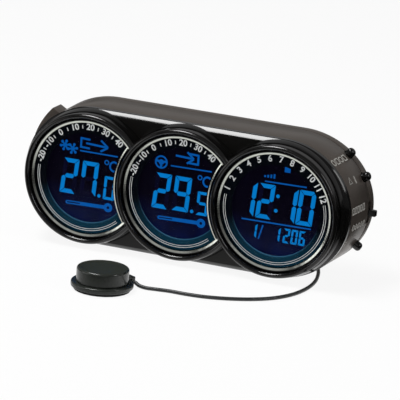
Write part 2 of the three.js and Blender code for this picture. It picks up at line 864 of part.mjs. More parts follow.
// Screws whose heads lie at headY; the shank runs towards the front where side is 1
function screw(x, z, headY, tipY, side) {
  const profile = [
    [0, headY], [screwHeadRadius, headY], [screwHeadRadius, headY - side * screwHeadHeight],
    [screwShankRadius, headY - side * screwHeadHeight], [screwShankRadius, tipY + side * 0.8], [0, tipY],
  ];
  return solid(turnedY(profile, x, z, fastenerSegments));
}

function screws(names, places, headY, tipY, side) {
  places.forEach(([x, z], i) => node(`${names[i]}_screw`, screw(x, z, headY, tipY, side), steel));
}

// Side controls
function surfaceRadius(angle) {
  const radians = THREE.MathUtils.degToRad(angle);
  const across = Math.cos(radians) / reachAt(controlY);
  const up = Math.sin(radians) / caseHalfHeight;
  return 1 / Math.hypot(across, up);
}

function pushButton(angle) {
  const outer = surfaceRadius(angle) + buttonProud;
  const wallInner = surfaceRadius(angle) - shellWall - 1.1;
  const flangeTop = wallInner - runningGap;
  const flangeBase = flangeTop - buttonFlangeThickness;
  const profile = [
    [0, outer], [buttonRadius - 1.1, outer - 0.15], [buttonRadius - 0.3, outer - 0.6],
    [buttonRadius, outer - 1.2], [buttonRadius, flangeTop], [buttonFlangeRadius, flangeTop],
    [buttonFlangeRadius, flangeBase], [1.3, flangeBase], [1.3, flangeBase - 1.0], [0, flangeBase - 1.0],
  ];
  return radialTurned(profile, angle, 16);
}

function plungerTop(angle) {
  const wallInner = surfaceRadius(angle) - shellWall - 1.1;
  return wallInner - runningGap - buttonFlangeThickness - 1.0 - buttonTravel - travelGap;
}

function tactSwitch(angle) {
  const top = plungerTop(angle) - plungerLength;
  const half = switchBodySize / 2;
  const body = solid(radialBox(top - switchBodyDepth, top, half, half, angle));
  const plunger = [[0, top - 0.3], [plungerRadius, top - 0.3], [plungerRadius, top + plungerLength],
    [0, top + plungerLength]];
  return body.add(solid(radialTurned(plunger, angle, 12)));
}

// Where the lever's guide plate starts, clear of the wall's curve and of its flats at both ends of travel
function leverInnerX() {
  const endZ = Math.abs(leverCentreZ) + leverGuideHalfZ + leverTravel;
  const wallReach = (reachAt(controlY - leverGuideHalfY) - shellWall) * Math.cos(Math.PI / (2 * endSegments));
  const wallHalfHeight = caseHalfHeight - shellWall;
  return gaugeSpacing + wallReach * Math.sqrt(1 - (endZ / wallHalfHeight) ** 2) - runningGap;
}

function colourLever() {
  const tip = gaugeSpacing + reachAt(controlY) + leverProud;
  const inner = leverInnerX();
  const half = leverWidth / 2;
  const outline = [
    [inner - 0.4, -half], [tip - leverTipChamfer, -half], [tip, leverTipChamfer - half],
    [tip, half - leverTipChamfer], [tip - leverTipChamfer, half], [inner - 0.4, half],
  ].map(([x, z]) => new THREE.Vector2(x, leverCentreZ + z));
  const body = solid(prismY(outline, controlY - leverThickness / 2, controlY + leverThickness / 2));
  const plateInner = inner - leverGuideThickness;
  const plate = box(plateInner, inner, controlY - leverGuideHalfY, controlY + leverGuideHalfY,
    leverCentreZ - leverGuideHalfZ, leverCentreZ + leverGuideHalfZ);
  const fork = box(plateInner - leverForkLength, plateInner + 0.1, controlY - leverForkHalfY,
    controlY + leverForkHalfY, leverCentreZ - leverForkHalfZ, leverCentreZ + leverForkHalfZ);
  return joined([body, solid(plate), solid(fork)]);
}

function colourSwitch() {
  const faceX = leverInnerX() - leverGuideThickness - leverForkLength - seatGap;
  return box(faceX - slideSwitchDepth, faceX, controlY - slideSwitchHalfY, controlY + slideSwitchHalfY,
    leverCentreZ - slideSwitchHalfZ, leverCentreZ + slideSwitchHalfZ);
}

// Switch board: carries the switches of the right end, each facing out along its own radius
function switchBoard() {
  const radius = caseHalfHeight - switchBoardInset;
  const points = [];
  const steps = 14;
  for (let i = 0; i <= steps; i++) {
    const angle = THREE.MathUtils.degToRad(-48 + 112 * i / steps);
    points.push(new THREE.Vector2(gaugeSpacing + radius * Math.cos(angle), radius * Math.sin(angle)));
  }
  points.push(new THREE.Vector2(gaugeSpacing + switchBoardInnerX, switchBoardHighZ));
  points.push(new THREE.Vector2(gaugeSpacing + switchBoardInnerX, switchBoardLowZ));
  return drilledBoard(points, switchPostPlaces());
}

function lightBoard() {
  const [x] = lightPostPlaces()[0];
  const halfZ = lightBoardHalfHeight;
  const outline = [
    [lightBoardInnerX, -halfZ], [lightBoardInnerX, halfZ], [-lightBoardShoulderX, halfZ],
    [-lightBoardTongueX, lightBoardTongueHalf], [-lightBoardTongueX, -lightBoardTongueHalf],
    [-lightBoardShoulderX, -halfZ],
  ].map(([along, z]) => new THREE.Vector2(x + along, z));
  return drilledBoard(outline, lightPostPlaces());
}

function drilledBoard(outline, places) {
  const plate = prismY(outline, switchBoardY, switchBoardY + switchBoardThickness);
  const holes = places.map(([x, z]) => (
    solid(discY(x, z, screwHoleRadius, switchBoardY - 1, switchBoardY + 3, 12))));
  return cut(solid(plate), holes);
}

// Press bar: a curved key across the seam of the left end, with a retaining flange inside the wall
function barEndPoint(half, proud, reach, height) {
  const fullHeight = caseHalfHeight + proud * barRise;
  const outerX = -(reachAt(seamY) + proud) * Math.sqrt(1 - (half / fullHeight) ** 2);
  let low = 0;
  let high = Math.PI / 2;
  for (let i = 0; i < 40; i++) {
    const middle = (low + high) / 2;
    const lineZ = half - barEndSlope * (-reach * Math.cos(middle) - outerX);
    if (height * Math.sin(middle) > lineZ) high = middle;
    else low = middle;
  }
  return low;
}

function barPrism(grow, inward, halfWidth, proud) {
  const half = barHalfHeight + grow;
  const outer = { reach: reachAt(seamY) + proud, height: caseHalfHeight + proud * barRise };
  const inner = { reach: reachAt(seamY) - inward, height: caseHalfHeight - inward };
  const outerLimit = barEndPoint(half, barProud, outer.reach, outer.height);
  const innerLimit = barEndPoint(half, barProud, inner.reach, inner.height);
  const steps = 12;
  const arc = ({ reach, height }, limit) => {
    const points = [];
    for (let i = 0; i <= steps; i++) {
      const angle = Math.PI - limit + 2 * limit * i / steps;
      points.push(new THREE.Vector2(reach * Math.cos(angle) - gaugeSpacing, height * Math.sin(angle)));
    }
    return points;
  };
  const outline = [...arc(outer, outerLimit), ...arc(inner, innerLimit).reverse()];
  return prismY(outline, barCentreY - halfWidth, barCentreY + halfWidth);
}

// How far the bar's flange lies inside the outline at the seam, clear of the wall at its front edge
function barFlangeDepth() {
  const frontEdgeY = barCentreY - barWidth / 2 - barFlangeLap;
  return reachAt(seamY) - reachAt(frontEdgeY) + shellWall + runningGap;
}

function lightBar() {
  const flangeFrom = barFlangeDepth();
  const flange = barPrism(1.2, flangeFrom + barFlange, barWidth / 2 + barFlangeLap, -flangeFrom);
  return solid(barPrism(0, flangeFrom + 0.5, barWidth / 2, barProud)).add(solid(flange));
}

function lightSwitch() {
  const barInner = -gaugeSpacing - reachAt(seamY) + barFlangeDepth() + barFlange;
  const tip = barInner + barTravel + travelGap;
  const half = switchBodySize / 2;
  const middleY = switchBoardY + switchBoardThickness + seatGap + half;
  const face = tip + plungerLength;
  const body = box(face, face + switchBodyDepth, middleY - half, middleY + half, -half, half);
  const plunger = cylinderX(tip, face + 0.3, middleY, 0, plungerRadius, 12);
  return solid(body).add(solid(plunger));
}

// Batteries and their contacts; the two cells lie opposite ways
function batteryCell(side) {
  const z = side * cellPitch / 2;
  const start = -trayHalfX + 2 * seatGap + contactThickness + springLength;
  const profile = [
    [0, 0], [cellRadius - 0.4, 0], [cellRadius, 0.4], [cellRadius, cellLength - 0.4],
    [cellRadius - 0.4, cellLength], [cellNubRadius, cellLength], [cellNubRadius, cellLength + cellNubLength],
    [0, cellLength + cellNubLength],
  ].map(([radius, along]) => new THREE.Vector2(radius, along));
  const cell = new THREE.LatheGeometry(profile, 18).rotateZ(-Math.PI / 2).translate(start, 0, 0);
  if (side < 0) cell.rotateZ(Math.PI);
  return cell.translate(0, cellY, z);
}

function batteryContact(end) {
  const face = end * (trayHalfX - seatGap);
  const inside = face - end * contactThickness;
  const plate = box(Math.min(face, inside), Math.max(face, inside), cellY - contactFrontReach,
    cellY + contactBackReach, -contactHalfHeight, contactHalfHeight);
  const springZ = -end * cellPitch / 2;
  const spring = springTurns(inside, end, springZ);
  const ends = [inside + end * 0.1, inside - end * contactBump];
  const bump = cylinderX(Math.min(...ends), Math.max(...ends), cellY, -springZ, contactBumpRadius, 16);
  return solid(plate).add(solid(bump)).add(spring);
}

// A conical contact spring, drawn as stacked rings that narrow towards the cell
function springTurns(inside, end, z) {
  const step = springLength / springTurnCount;
  const rings = [];
  for (let i = 0; i < springTurnCount; i++) {
    const radius = springRadius - i * springTaper;
    const from = inside - end * (i * step - 0.15);
    const to = inside - end * ((i + 1) * step);
    rings.push(solid(cylinderX(Math.min(from, to), Math.max(from, to), cellY, z, radius, 14)));
  }
  return joined(rings);
}

// Receiver antenna: ferrite rod with its winding, held in two clips on the main board
function antenna() {
  const rod = cylinderX(rodX - rodLength / 2, rodX + rodLength / 2, rodY, rodZ, rodRadius, 16);
  node('antenna_rod', rod, ferriteGrey);
  const low = rodX - windingLength / 2;
  const sleeve = solid(cylinderX(low, low + windingLength, rodY, rodZ, windingRadius, 18));
  const bore = solid(cylinderX(low - 1, low + windingLength + 1, rodY, rodZ, rodRadius + seatGap, 16));
  node('antenna_winding', sleeve.subtract(bore), copper);
  for (const [name, side] of [['left', -1], ['right', 1]]) {
    const x = rodX + side * clipOffset;
    const half = clipThickness / 2;
    const reach = rodRadius + clipWall;
    const clip = solid(box(x - half, x + half, boardBackY + seatGap, rodY + 1.5, rodZ - reach, rodZ + reach));
    const saddle = solid(cylinderX(x - 3, x + 3, rodY, rodZ, rodRadius + seatGap, 14));
    const mouth = solid(box(x - 3, x + 3, rodY, rodY + 4, rodZ - clipMouthHalf, rodZ + clipMouthHalf));
    node(`antenna_clip_${name}`, clip.subtract(saddle).subtract(mouth), clipWhite);
  }
}

function insideSensor() {
  const profile = [
    [0, boardBackY + seatGap], [1.3, boardBackY + seatGap], [1.3, boardBackY + 3.4], [0.8, boardBackY + 4.1],
    [0, boardBackY + 4.3],
  ];
  return turnedY(profile, -40, -17, 14);
}

// Feet
function foot(x, y) {
  const thickness = footThickness - seatGap;
  const profile = [
    [0, 0], [footRadius - 0.3, 0], [footRadius, 0.25], [footRadius, thickness], [0, thickness],
  ].map(([radius, z]) => new THREE.Vector2(radius, z));
  return new THREE.LatheGeometry(profile, 20).rotateX(Math.PI / 2).translate(x, y, -centreZ);
}

// Lead grommet: flanged on both sides of the back wall, with a grooved taper outside
function leadGrommet() {
  const inner = backWallY - seatGap;
  const outer = caseBackY + seatGap;
  const end = caseBackY + grommetLength;
  const neck = grommetFlangeRadius - 1 - seatGap;
  const profile = [
    [0, inner - grommetInnerFlange], [grommetFlangeRadius, inner - grommetInnerFlange],
    [grommetFlangeRadius, inner], [neck, inner], [neck, outer],
    [grommetFlangeRadius, outer], [grommetFlangeRadius, outer + grommetOuterFlange],
  ];
  const taperFrom = outer + grommetOuterFlange;
  const pitch = (end - taperFrom) / grommetRibs;
  for (let i = 0; i < grommetRibs; i++) {
    const start = taperFrom + pitch * i;
    const radius = grommetTaperRadius - i * grommetRibStep;
    profile.push([radius, start + 0.01], [radius - 0.15, start + pitch * 0.6]);
    profile.push([radius - 2 * grommetRibStep, start + pitch * 0.8]);
  }
  profile.push([0, end]);
  return turnedY(profile, grommetX, grommetZ - centreZ, 16);
}

// Sensor lead, in the frame the clock stands in: a free stretch to the coil, the coil, and one to the sensor
const coilLift = tieThickness + seatGap;
const leadFloorZ = leadRadius + floorClearance;
const coilFloorZ = leadRadius + coilLift;
const turnsPerLayer = coilTurns / coilLayers;
const coilInnerRadius = coilOuterRadius - coilPitch * turnsPerLayer;

function coilPoint(turn) {
  const layer = Math.min(coilLayers - 1, Math.floor(turn / turnsPerLayer));
  const share = turn / turnsPerLayer - layer;
  const span = coilOuterRadius - coilInnerRadius;
  const radius = layer % 2 === 0 ? coilOuterRadius - span * share : coilInnerRadius + span * share;
  let z = coilFloorZ;
  for (let k = 1; k < coilLayers; k++) {
    const rise = THREE.MathUtils.clamp((turn - k * turnsPerLayer) * 2 + 0.5, 0, 1);
    z += coilPitch * rise * rise * (3 - 2 * rise);
  }
  const angle = 2 * Math.PI * turn;
  return new THREE.Vector3(coilX + radius * Math.cos(angle), coilY + radius * Math.sin(angle), z);
}

function coilPath() {
  const count = Math.round(coilTurns * coilSteps);
  const path = [];
  for (let i = 0; i <= count; i++) path.push(coilPoint(coilTurns * i / count));
  const first = new THREE.Vector3(0, -2 * leadRadius, 0).add(path[0]);
  const last = new THREE.Vector3(0, -2 * leadRadius, 0).add(path[count]);
  return [first, ...path, last];
}

function sweptTube(path, radius, sides) {
  const up = new THREE.Vector3(0, 0, 1);
  const position = [];
  path.forEach((point, i) => {
    const before = path[Math.max(0, i - 1)];
    const after = path[Math.min(path.length - 1, i + 1)];
    const along = new THREE.Vector3().subVectors(after, before).normalize();
    const across = new THREE.Vector3().crossVectors(along, up).normalize();
    const above = new THREE.Vector3().crossVectors(across, along);
    for (let k = 0; k < sides; k++) {
      const angle = 2 * Math.PI * (k + 0.5) / sides;
      const corner = point.clone().addScaledVector(across, radius * Math.cos(angle));
      corner.addScaledVector(above, radius * Math.sin(angle));
      position.push(corner.x, corner.y, corner.z);
    }
  });
  const index = [];
  for (let i = 0; i < path.length - 1; i++) {
    for (let k = 0; k < sides; k++) {
      const a = i * sides + k;
      const b = i * sides + (k + 1) % sides;
      index.push(a, b, a + sides, b, b + sides, a + sides);
    }
  }
  const last = (path.length - 1) * sides;
  for (let k = 1; k < sides - 1; k++) {
    index.push(0, k + 1, k);
    index.push(last, last + k, last + k + 1);
  }
  const geometry = new THREE.BufferGeometry();
  geometry.setAttribute('position', new THREE.Float32BufferAttribute(position, 3));
  geometry.setIndex(index);
  return geometry;
}

function leastSelfGap(path) {
  let least = Infinity;
  const skip = Math.round(coilSteps / 2);
  for (let i = 0; i < path.length; i++) {
    for (let j = i + skip; j < path.length; j++) least = Math.min(least, path[i].distanceTo(path[j]));
  }
  return least - 2 * leadRadius;
}

function polylineLength(path) {
  let length = 0;
  for (let i = 1; i < path.length; i++) length += path[i].distanceTo(path[i - 1]);
  return length;
}

function freeTube(points, steps) {
  const knots = points.map((point) => new THREE.Vector3(...point));
  const curve = new THREE.CatmullRomCurve3(knots, false, 'centripetal');
  const section = new THREE.Shape();
  for (let k = 0; k < leadSides; k++) {
    const angle = 2 * Math.PI * (k + 0.5) / leadSides;
    const corner = [leadRadius * Math.cos(angle), leadRadius * Math.sin(angle)];
    if (k === 0) section.moveTo(...corner);
    else section.lineTo(...corner);
  }
  const geometry = new THREE.ExtrudeGeometry(section, { steps, bevelEnabled: false, extrudePath: curve });
  return { geometry, length: curve.getLength() };
}

function lugPlace() {
  const angle = THREE.MathUtils.degToRad(lugAngle);
  const along = new THREE.Vector3(Math.sin(angle), -Math.cos(angle), 0);
  const x = sensorX + lugRadialOffset * Math.cos(angle);
  const y = sensorY + lugRadialOffset * Math.sin(angle);
  return { centre: new THREE.Vector3(x, y, 0), along, angle };
}

function sensorLead() {
  const path = coilPath();
  const { centre, along } = lugPlace();
  const leave = centre.clone().addScaledVector(along, lugLength / 2 + seatGap);
  const straight = leave.clone().addScaledVector(along, 2 * leadRadius);
  const coilStart = path[0];
  const toSensor = freeTube([
    [leave.x, leave.y, lugLeadZ],
    [straight.x, straight.y, lugLeadZ - 0.05],
    [1.0, -55.3, 1.15],
    [4.0, -55.7, leadFloorZ],
    [8.5, -55.1, leadFloorZ],
    [14.0, -54.2, leadFloorZ],
    [21.0, -54.1, leadFloorZ],
    [29.0, -53.0, leadFloorZ],
    [38.3, -49.6, leadFloorZ],
    [46.8, -44.4, leadFloorZ],
    [53.0, -38.2, leadFloorZ],
    [57.6, -29.3, leadFloorZ],
    [59.7, -18.4, leadFloorZ],
    [59.3, -7.0, leadFloorZ],
    [56.6, 4.5, leadFloorZ],
    [52.9, 14.5, leadFloorZ],
    [49.4, 24.0, leadFloorZ],
    [46.8, 34.0, leadFloorZ],
    [45.4, 45.0, leadFloorZ + 0.2],
    [coilStart.x, coilStart.y - seatGap - 2 * leadRadius, coilStart.z],
    [coilStart.x, coilStart.y - seatGap, coilStart.z],
  ], 52);
  const coilEnd = path[path.length - 1];
  const exitY = backStandY + grommetLength + seatGap;
  const toCoil = freeTube([
    [grommetX, exitY, grommetZ],
    [grommetX, exitY + 2 * leadRadius, grommetZ],
    [grommetX, exitY + 9.0, grommetZ - 0.6],
    [coilEnd.x, coilEnd.y - seatGap - 12.0, coilEnd.z - 0.1],
    [coilEnd.x, coilEnd.y - seatGap - 2 * leadRadius, coilEnd.z],
    [coilEnd.x, coilEnd.y - seatGap, coilEnd.z],
  ], 10);
  node('sensor_lead', toSensor.geometry, leadGrey, group);
  node('clock_lead', toCoil.geometry, leadGrey, group);
  node('sensor_lead_coil', sweptTube(path, leadRadius, coilSides), leadGrey, group);
  const length = polylineLength(path) + toSensor.length + toCoil.length;
  const selfGap = leastSelfGap(path);
  console.log(`coil's least gap to itself ${selfGap.toFixed(2)} mm, lead ${length.toFixed(0)} mm long`);
}

// The tie wraps the bundle of turns on the side nearest the clock
function coilTie() {
  const spare = leadRadius + seatGap;
  const lowR = coilInnerRadius - spare;
  const highR = coilOuterRadius + spare;
  const lowZ = coilFloorZ - spare;
  const highZ = coilFloorZ + coilPitch * (coilLayers - 1) + spare;
  const halfWidth = tieWidth / 2;
  const outside = box(coilX - halfWidth, coilX + halfWidth, coilY - highR - tieThickness,
    coilY - lowR + tieThickness, lowZ - tieThickness, highZ + tieThickness);
  const inside = box(coilX - tieWidth, coilX + tieWidth, coilY - highR, coilY - lowR, lowZ, highZ);
  return solid(outside).subtract(solid(inside));
}

// Outdoor sensor: flanged base with a clamp for the lead, cap, bead and pad
function turnedZ(profile, x, y, segments) {
  const points = profile.map(([radius, z]) => new THREE.Vector2(radius, z));
  return new THREE.LatheGeometry(points, segments).rotateX(Math.PI / 2).translate(x, y, 0);
}

function sensorBase() {
  const low = padThickness + seatGap;
  const body = solid(turnedZ([
    [0, low], [flangeRadius - 0.5, low], [flangeRadius, low + 0.5], [flangeRadius, flangeHeight - 0.5],
    [flangeRadius - 0.5, flangeHeight], [0, flangeHeight],
  ], sensorX, sensorY, 32));
  const outer = capRadius - capWall - seatGap;
  const inner = outer - 1.2;
  const spigotLow = flangeHeight - 0.2;
  const spigotTop = flangeHeight + 1.8;
  const spigot = solid(turnedZ([
    [inner, spigotLow], [outer, spigotLow], [outer, spigotTop], [inner, spigotTop], [inner, spigotLow],
  ], sensorX, sensorY, 24));
  const { centre, angle } = lugPlace();
  const lug = new THREE.BoxGeometry(lugWidth, lugLength, flangeHeight + 0.4 - low)
    .rotateZ(angle).translate(centre.x, centre.y, (flangeHeight + 0.4 + low) / 2);
  return joined([body, spigot, solid(lug)]);
}

function sensorCap() {
  const low = flangeHeight + seatGap;
  const top = capHeight;
  const flat = capRadius - capEdgeRadius;
  const profile = [[0, top - 0.35], [flat - 1.2, top - 0.2], [flat, top]];
  const steps = 3;
  for (let i = 1; i <= steps; i++) {
    const angle = Math.PI / 2 * i / steps;
    const z = top - capEdgeRadius * (1 - Math.cos(angle));
    profile.push([flat + capEdgeRadius * Math.sin(angle), z]);
  }
  const inner = capRadius - capWall;
  profile.push([capRadius, low], [inner, low], [inner, top - capRoof], [0, top - capRoof]);
  return turnedZ(profile, sensorX, sensorY, 32);
}

function sensorBead() {
  const low = flangeHeight + seatGap;
  const profile = [
    [0, low], [2.4, low], [2.4, low + 0.8], [1.3, low + 0.8],
    [1.3, low + 3.0], [0.7, low + 3.5], [0, low + 3.6],
  ];
  return turnedZ(profile, sensorX + 2, sensorY, 14);
}

function sensorPad() {
  return turnedZ([[0, 0], [flangeRadius - 1.2, 0], [flangeRadius - 1.2, padThickness], [0, padThickness]],
    sensorX, sensorY, 24);
}

// Build the clock
displayStack();
node('front_bezel', frontBezel(), glossBlack);
node('front_housing', frontHousing(), satinCase);
node('rear_housing', rearHousing(), satinRear);
node('battery_door', batteryDoor(), satinRear);
node('main_circuit_board', mainBoard(), boardGreen);
screws(['left_board', 'right_board'], boardPostPlaces(), boardBackY + seatGap + screwHeadHeight,
  bezelFrontY + boardScrewTipGap, 1);
const caseScrewNames = ['lower_left_case', 'upper_left_case', 'lower_right_case', 'upper_right_case'];
screws(caseScrewNames, caseScrewPlaces(),
  caseBackY - counterboreDepth + seatGap + screwHeadHeight, boardBackY + caseScrewTipGap, 1);
for (const [name, angle] of [['mode', modeAngle], ['up', upAngle], ['down', downAngle]]) {
  node(`${name}_button`, pushButton(angle), keyBlack);
  node(`${name}_switch`, tactSwitch(angle), switchBlack);
}
node('colour_lever', colourLever(), keyBlack);
node('colour_switch', colourSwitch(), switchBlack);
node('switch_board', switchBoard(), boardGreen);
node('light_bar', lightBar(), satinCase);
node('light_switch', lightSwitch(), switchBlack);
node('light_switch_board', lightBoard(), boardGreen);
screws(['switch_board', 'light_board'], [switchPostPlaces()[0], lightPostPlaces()[0]],
  switchBoardY - seatGap - screwHeadHeight, switchBoardY + switchBoardThickness + postScrewGrip, -1);
node('upper_battery', batteryCell(1), cellJacket);
node('lower_battery', batteryCell(-1), cellJacket);
node('left_battery_contact', batteryContact(-1), steel);
node('right_battery_contact', batteryContact(1), steel);
antenna();
node('inside_sensor', insideSensor(), switchBlack);
for (const [side, x] of [['left', -footX], ['right', footX]]) {
  node(`front_${side}_foot`, foot(x, footFrontY), rubberBlack);
  node(`rear_${side}_foot`, foot(x, footRearY), rubberBlack);
}
node('lead_grommet', leadGrommet(), rubberBlack);
sensorLead();
node('coil_tie', coilTie(), rubberBlack, group);
node('sensor_base', sensorBase(), sensorBlack, group);
node('sensor_cap', sensorCap(), sensorBlack, group);
node('sensor_bead', sensorBead(), switchBlack, group);
node('sensor_pad', sensorPad(), foamGrey, group);

export default group;
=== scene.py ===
"""A radio-controlled clock with three round displays and an outdoor sensor, dressed around its CAD frame."""

import logging
import math
from dataclasses import dataclass, field
from enum import Enum
from typing import Callable

import bpy
from mathutils import Matrix, Vector


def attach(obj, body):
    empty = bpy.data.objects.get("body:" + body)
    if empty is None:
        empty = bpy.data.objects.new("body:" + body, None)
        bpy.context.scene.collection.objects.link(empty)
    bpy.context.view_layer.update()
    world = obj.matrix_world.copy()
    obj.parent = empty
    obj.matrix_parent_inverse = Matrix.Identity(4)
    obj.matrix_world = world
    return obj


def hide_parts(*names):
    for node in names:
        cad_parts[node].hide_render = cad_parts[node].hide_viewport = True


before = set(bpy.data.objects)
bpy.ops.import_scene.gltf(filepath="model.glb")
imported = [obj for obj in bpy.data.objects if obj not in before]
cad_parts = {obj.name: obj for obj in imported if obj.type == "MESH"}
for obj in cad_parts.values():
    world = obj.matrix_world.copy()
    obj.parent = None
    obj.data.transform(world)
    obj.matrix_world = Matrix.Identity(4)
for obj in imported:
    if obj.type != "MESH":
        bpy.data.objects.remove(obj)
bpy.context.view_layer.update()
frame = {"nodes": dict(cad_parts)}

LOG = logging.getLogger("clock")

MM = 0.001
NEAR = 1e-6
TINY = 1e-7
CASE_MID_Y = 15.55
CENTRE_Z = 30.2
SPACING = 42.2
GAUGE_X = {"left": -SPACING, "middle": 0.0, "right": SPACING}
NEXT_GAUGE = {"left": "middle", "middle": "right"}
CASE_HALF_HEIGHT = 29.3
FRONT_REACH = 30.8
BACK_REACH = 32.9
BEZEL_BACK_Y = 7.6
SEAM_Y = 26.0
CASE_BACK_Y = 33.6
WALL = 2.0
GAP = 0.3
HOUSING_FRONT_Y = BEZEL_BACK_Y + GAP
LEAD_X = 10.0
LEAD_HEIGHT = 9.0
SENSOR_X = -11.4
SENSOR_Y = -64.4
LUG_ANGLE = math.radians(62.0)
LUG_OFFSET = 13.6
LUG_LENGTH = 5.0
BODY = "clock_body"

Piece = bpy.types.Object
Point = tuple[float, float, float]
Spot = tuple[float, float]
Line = tuple[Spot, Spot]
Test = Callable[[Vector], bool]


def stand(x: float, y: float, z: float) -> Vector:
    """Turns a place in the case's own millimetres into the standing frame's metres.

    Args:
        x: distance to the right of the middle display's centre.
        y: distance behind the front face of the lenses.
        z: height above the middle display's centre.

    Returns:
        The same place in metres, above the plane that the feet stand on.
    """
    return Vector((x, y - CASE_MID_Y, z + CENTRE_Z)) * MM


def lug_place(z: float) -> Vector:
    """Gives the middle of the sensor's clamp at a height, in the standing frame's millimetres."""
    return Vector((SENSOR_X + LUG_OFFSET * math.cos(LUG_ANGLE),
                   SENSOR_Y + LUG_OFFSET * math.sin(LUG_ANGLE), z))


def reach_at(y: float) -> float:
    """Gives how far the case's ends reach from an outer display's centre at depth y."""
    share = (y - BEZEL_BACK_Y) / (CASE_BACK_Y - BEZEL_BACK_Y)
    return FRONT_REACH + (BACK_REACH - FRONT_REACH) * max(0.0, share)


# Modelling with operators


def release() -> None:
    """Leaves edit mode and deselects everything."""
    if bpy.context.object and bpy.context.object.mode != "OBJECT":
        bpy.ops.object.mode_set(mode="OBJECT")
    bpy.ops.object.select_all(action="DESELECT")


def take(piece: Piece) -> Piece:
    """Makes a piece the only selected and the active one.

    Args:
        piece: the object.

    Returns:
        The same piece.
    """
    release()
    piece.select_set(True)
    bpy.context.view_layer.objects.active = piece
    return piece


def named(name: str) -> Piece:
    """Names the primitive that was just added, and sets its place into its mesh.

    Args:
        name: its new name.

    Returns:
        The primitive.
    """
    piece = bpy.context.object
    piece.name = name
    piece.data.name = name
    bpy.ops.object.transform_apply(location=True, rotation=True, scale=True)
    return piece


def unpicked(piece: Piece) -> bpy.types.Mesh:
    """Takes a piece and returns its mesh with nothing in it selected.

    Args:
        piece: the object.

    Returns:
        Its mesh.
    """
    take(piece)
    for group in (piece.data.vertices, piece.data.edges, piece.data.polygons):
        group.foreach_set("select", [False] * len(group))
    return piece.data


def pick(piece: Piece, test: Test | None = None, faces: bool = False) -> None:
    """Enters edit mode with the vertices or faces selected that pass a test.

    Args:
        piece: the object to edit.
        test: says for a vertex's place, or a face's centre, whether it is selected; all without it.
        faces: select faces instead of vertices.
    """
    mesh = unpicked(piece)
    for item in mesh.polygons if faces else mesh.vertices:
        item.select = test is None or test(item.center if faces else item.co)
    bpy.context.tool_settings.mesh_select_mode = (not faces, False, faces)
    bpy.ops.object.mode_set(mode="EDIT")


def pick_edges(piece: Piece, axis: int, least: float) -> None:
    """Enters edit mode with the edges selected that run farther than a length along an axis.

    Args:
        piece: the object to edit.
        axis: 0, 1 or 2 for X, Y or Z.
        least: the length, in metres.
    """
    mesh = unpicked(piece)
    for edge in mesh.edges:
        a, b = (mesh.vertices[i].co for i in edge.vertices)
        edge.select = abs(a[axis] - b[axis]) > least
    bpy.context.tool_settings.mesh_select_mode = (False, True, False)
    bpy.ops.object.mode_set(mode="EDIT")


def box(name: str, middle: Vector, size: Point, rotation: Point = (0, 0, 0)) -> Piece:
    """Adds a box by its middle in metres, its sizes in millimetres and its turn.

    Args:
        name: the piece's name.
        middle: its middle.
        size: its sizes along X, Y and Z.
        rotation: its turn, in radians.

    Returns:
        The new piece.
    """
    release()
    bpy.ops.mesh.primitive_cube_add(size=1, location=middle, rotation=rotation)
    bpy.context.object.scale = [side * MM for side in size]
    return named(name)


def rod(name: str, middle: Vector, radius: float, length: float, count: int,
        rotation: Point = (0, 0, 0)) -> Piece:
    """Adds a cylinder by its middle in metres, its sizes in millimetres and its turn.

    Args:
        name: the piece's name.
        middle: its middle.
        radius: its radius.
        length: its length.
        count: sides of the circle.
        rotation: its turn from upright, in radians.

    Returns:
        The new piece.
    """
    release()
    bpy.ops.mesh.primitive_cylinder_add(
        vertices=count, radius=radius * MM, depth=length * MM, location=middle, rotation=rotation)
    return named(name)


def cylinder(name: str, x: float, z: float, radius: float, front: float, back: float,
             count: int = 96, turn: float = 0.0) -> Piece:
    """Adds a cylinder along Y, given in the case's millimetres.

    Args:
        name: the piece's name.
        x: its axis's place to the right.
        z: its axis's height.
        radius: its radius.
        front: the depth of its front face.
        back: the depth of its back face.
        count: sides of the circle.
        turn: turn of the circle about its axis, in radians.

    Returns:
        The new piece.
    """
    middle = stand(x, (front + back) / 2, z)
    return rod(name, middle, radius, back - front, count, (math.pi / 2, turn, 0))


def upright(name: str, radius: float, low: float, high: float) -> Piece:
    """Adds a cylinder on the sensor's axis, given in the standing frame's millimetres."""
    return rod(name, Vector((SENSOR_X, SENSOR_Y, (low + high) / 2)) * MM, radius, high - low, 96)


def block(name: str, low: Point, high: Point) -> Piece:
    """Adds a box between two corners in the case's millimetres."""
    middle = stand(*((a + b) / 2 for a, b in zip(low, high)))
    return box(name, middle, [b - a for a, b in zip(low, high)])


def bevel(width: float, segments: int, profile: float = 0.5, corners: bool = False) -> None:
    """Bevels what is selected in edit mode; width in millimetres."""
    bpy.ops.mesh.bevel(offset=width * MM, segments=segments, profile=profile,
                       affect="VERTICES" if corners else "EDGES", clamp_overlap=False)


def ease(piece: Piece, width: float, segments: int, test: Test | None = None) -> None:
    """Rounds the edges between the vertices that pass a test, or all of them.

    Args:
        piece: the object to edit.
        width: the rounding's width in millimetres.
        segments: edges across it.
        test: says for a vertex's place whether it counts.
    """
    pick(piece, test)
    bevel(width, segments)
    release()


def ease_along(piece: Piece, axis: int, least: float, width: float, segments: int) -> None:
    """Rounds the edges that run farther than a length in metres along an axis.

    Args:
        piece: the object to edit.
        axis: 0, 1 or 2 for X, Y or Z.
        least: the length.
        width: the rounding's width in millimetres.
        segments: edges across it.
    """
    pick_edges(piece, axis, least)
    bevel(width, segments)
    release()


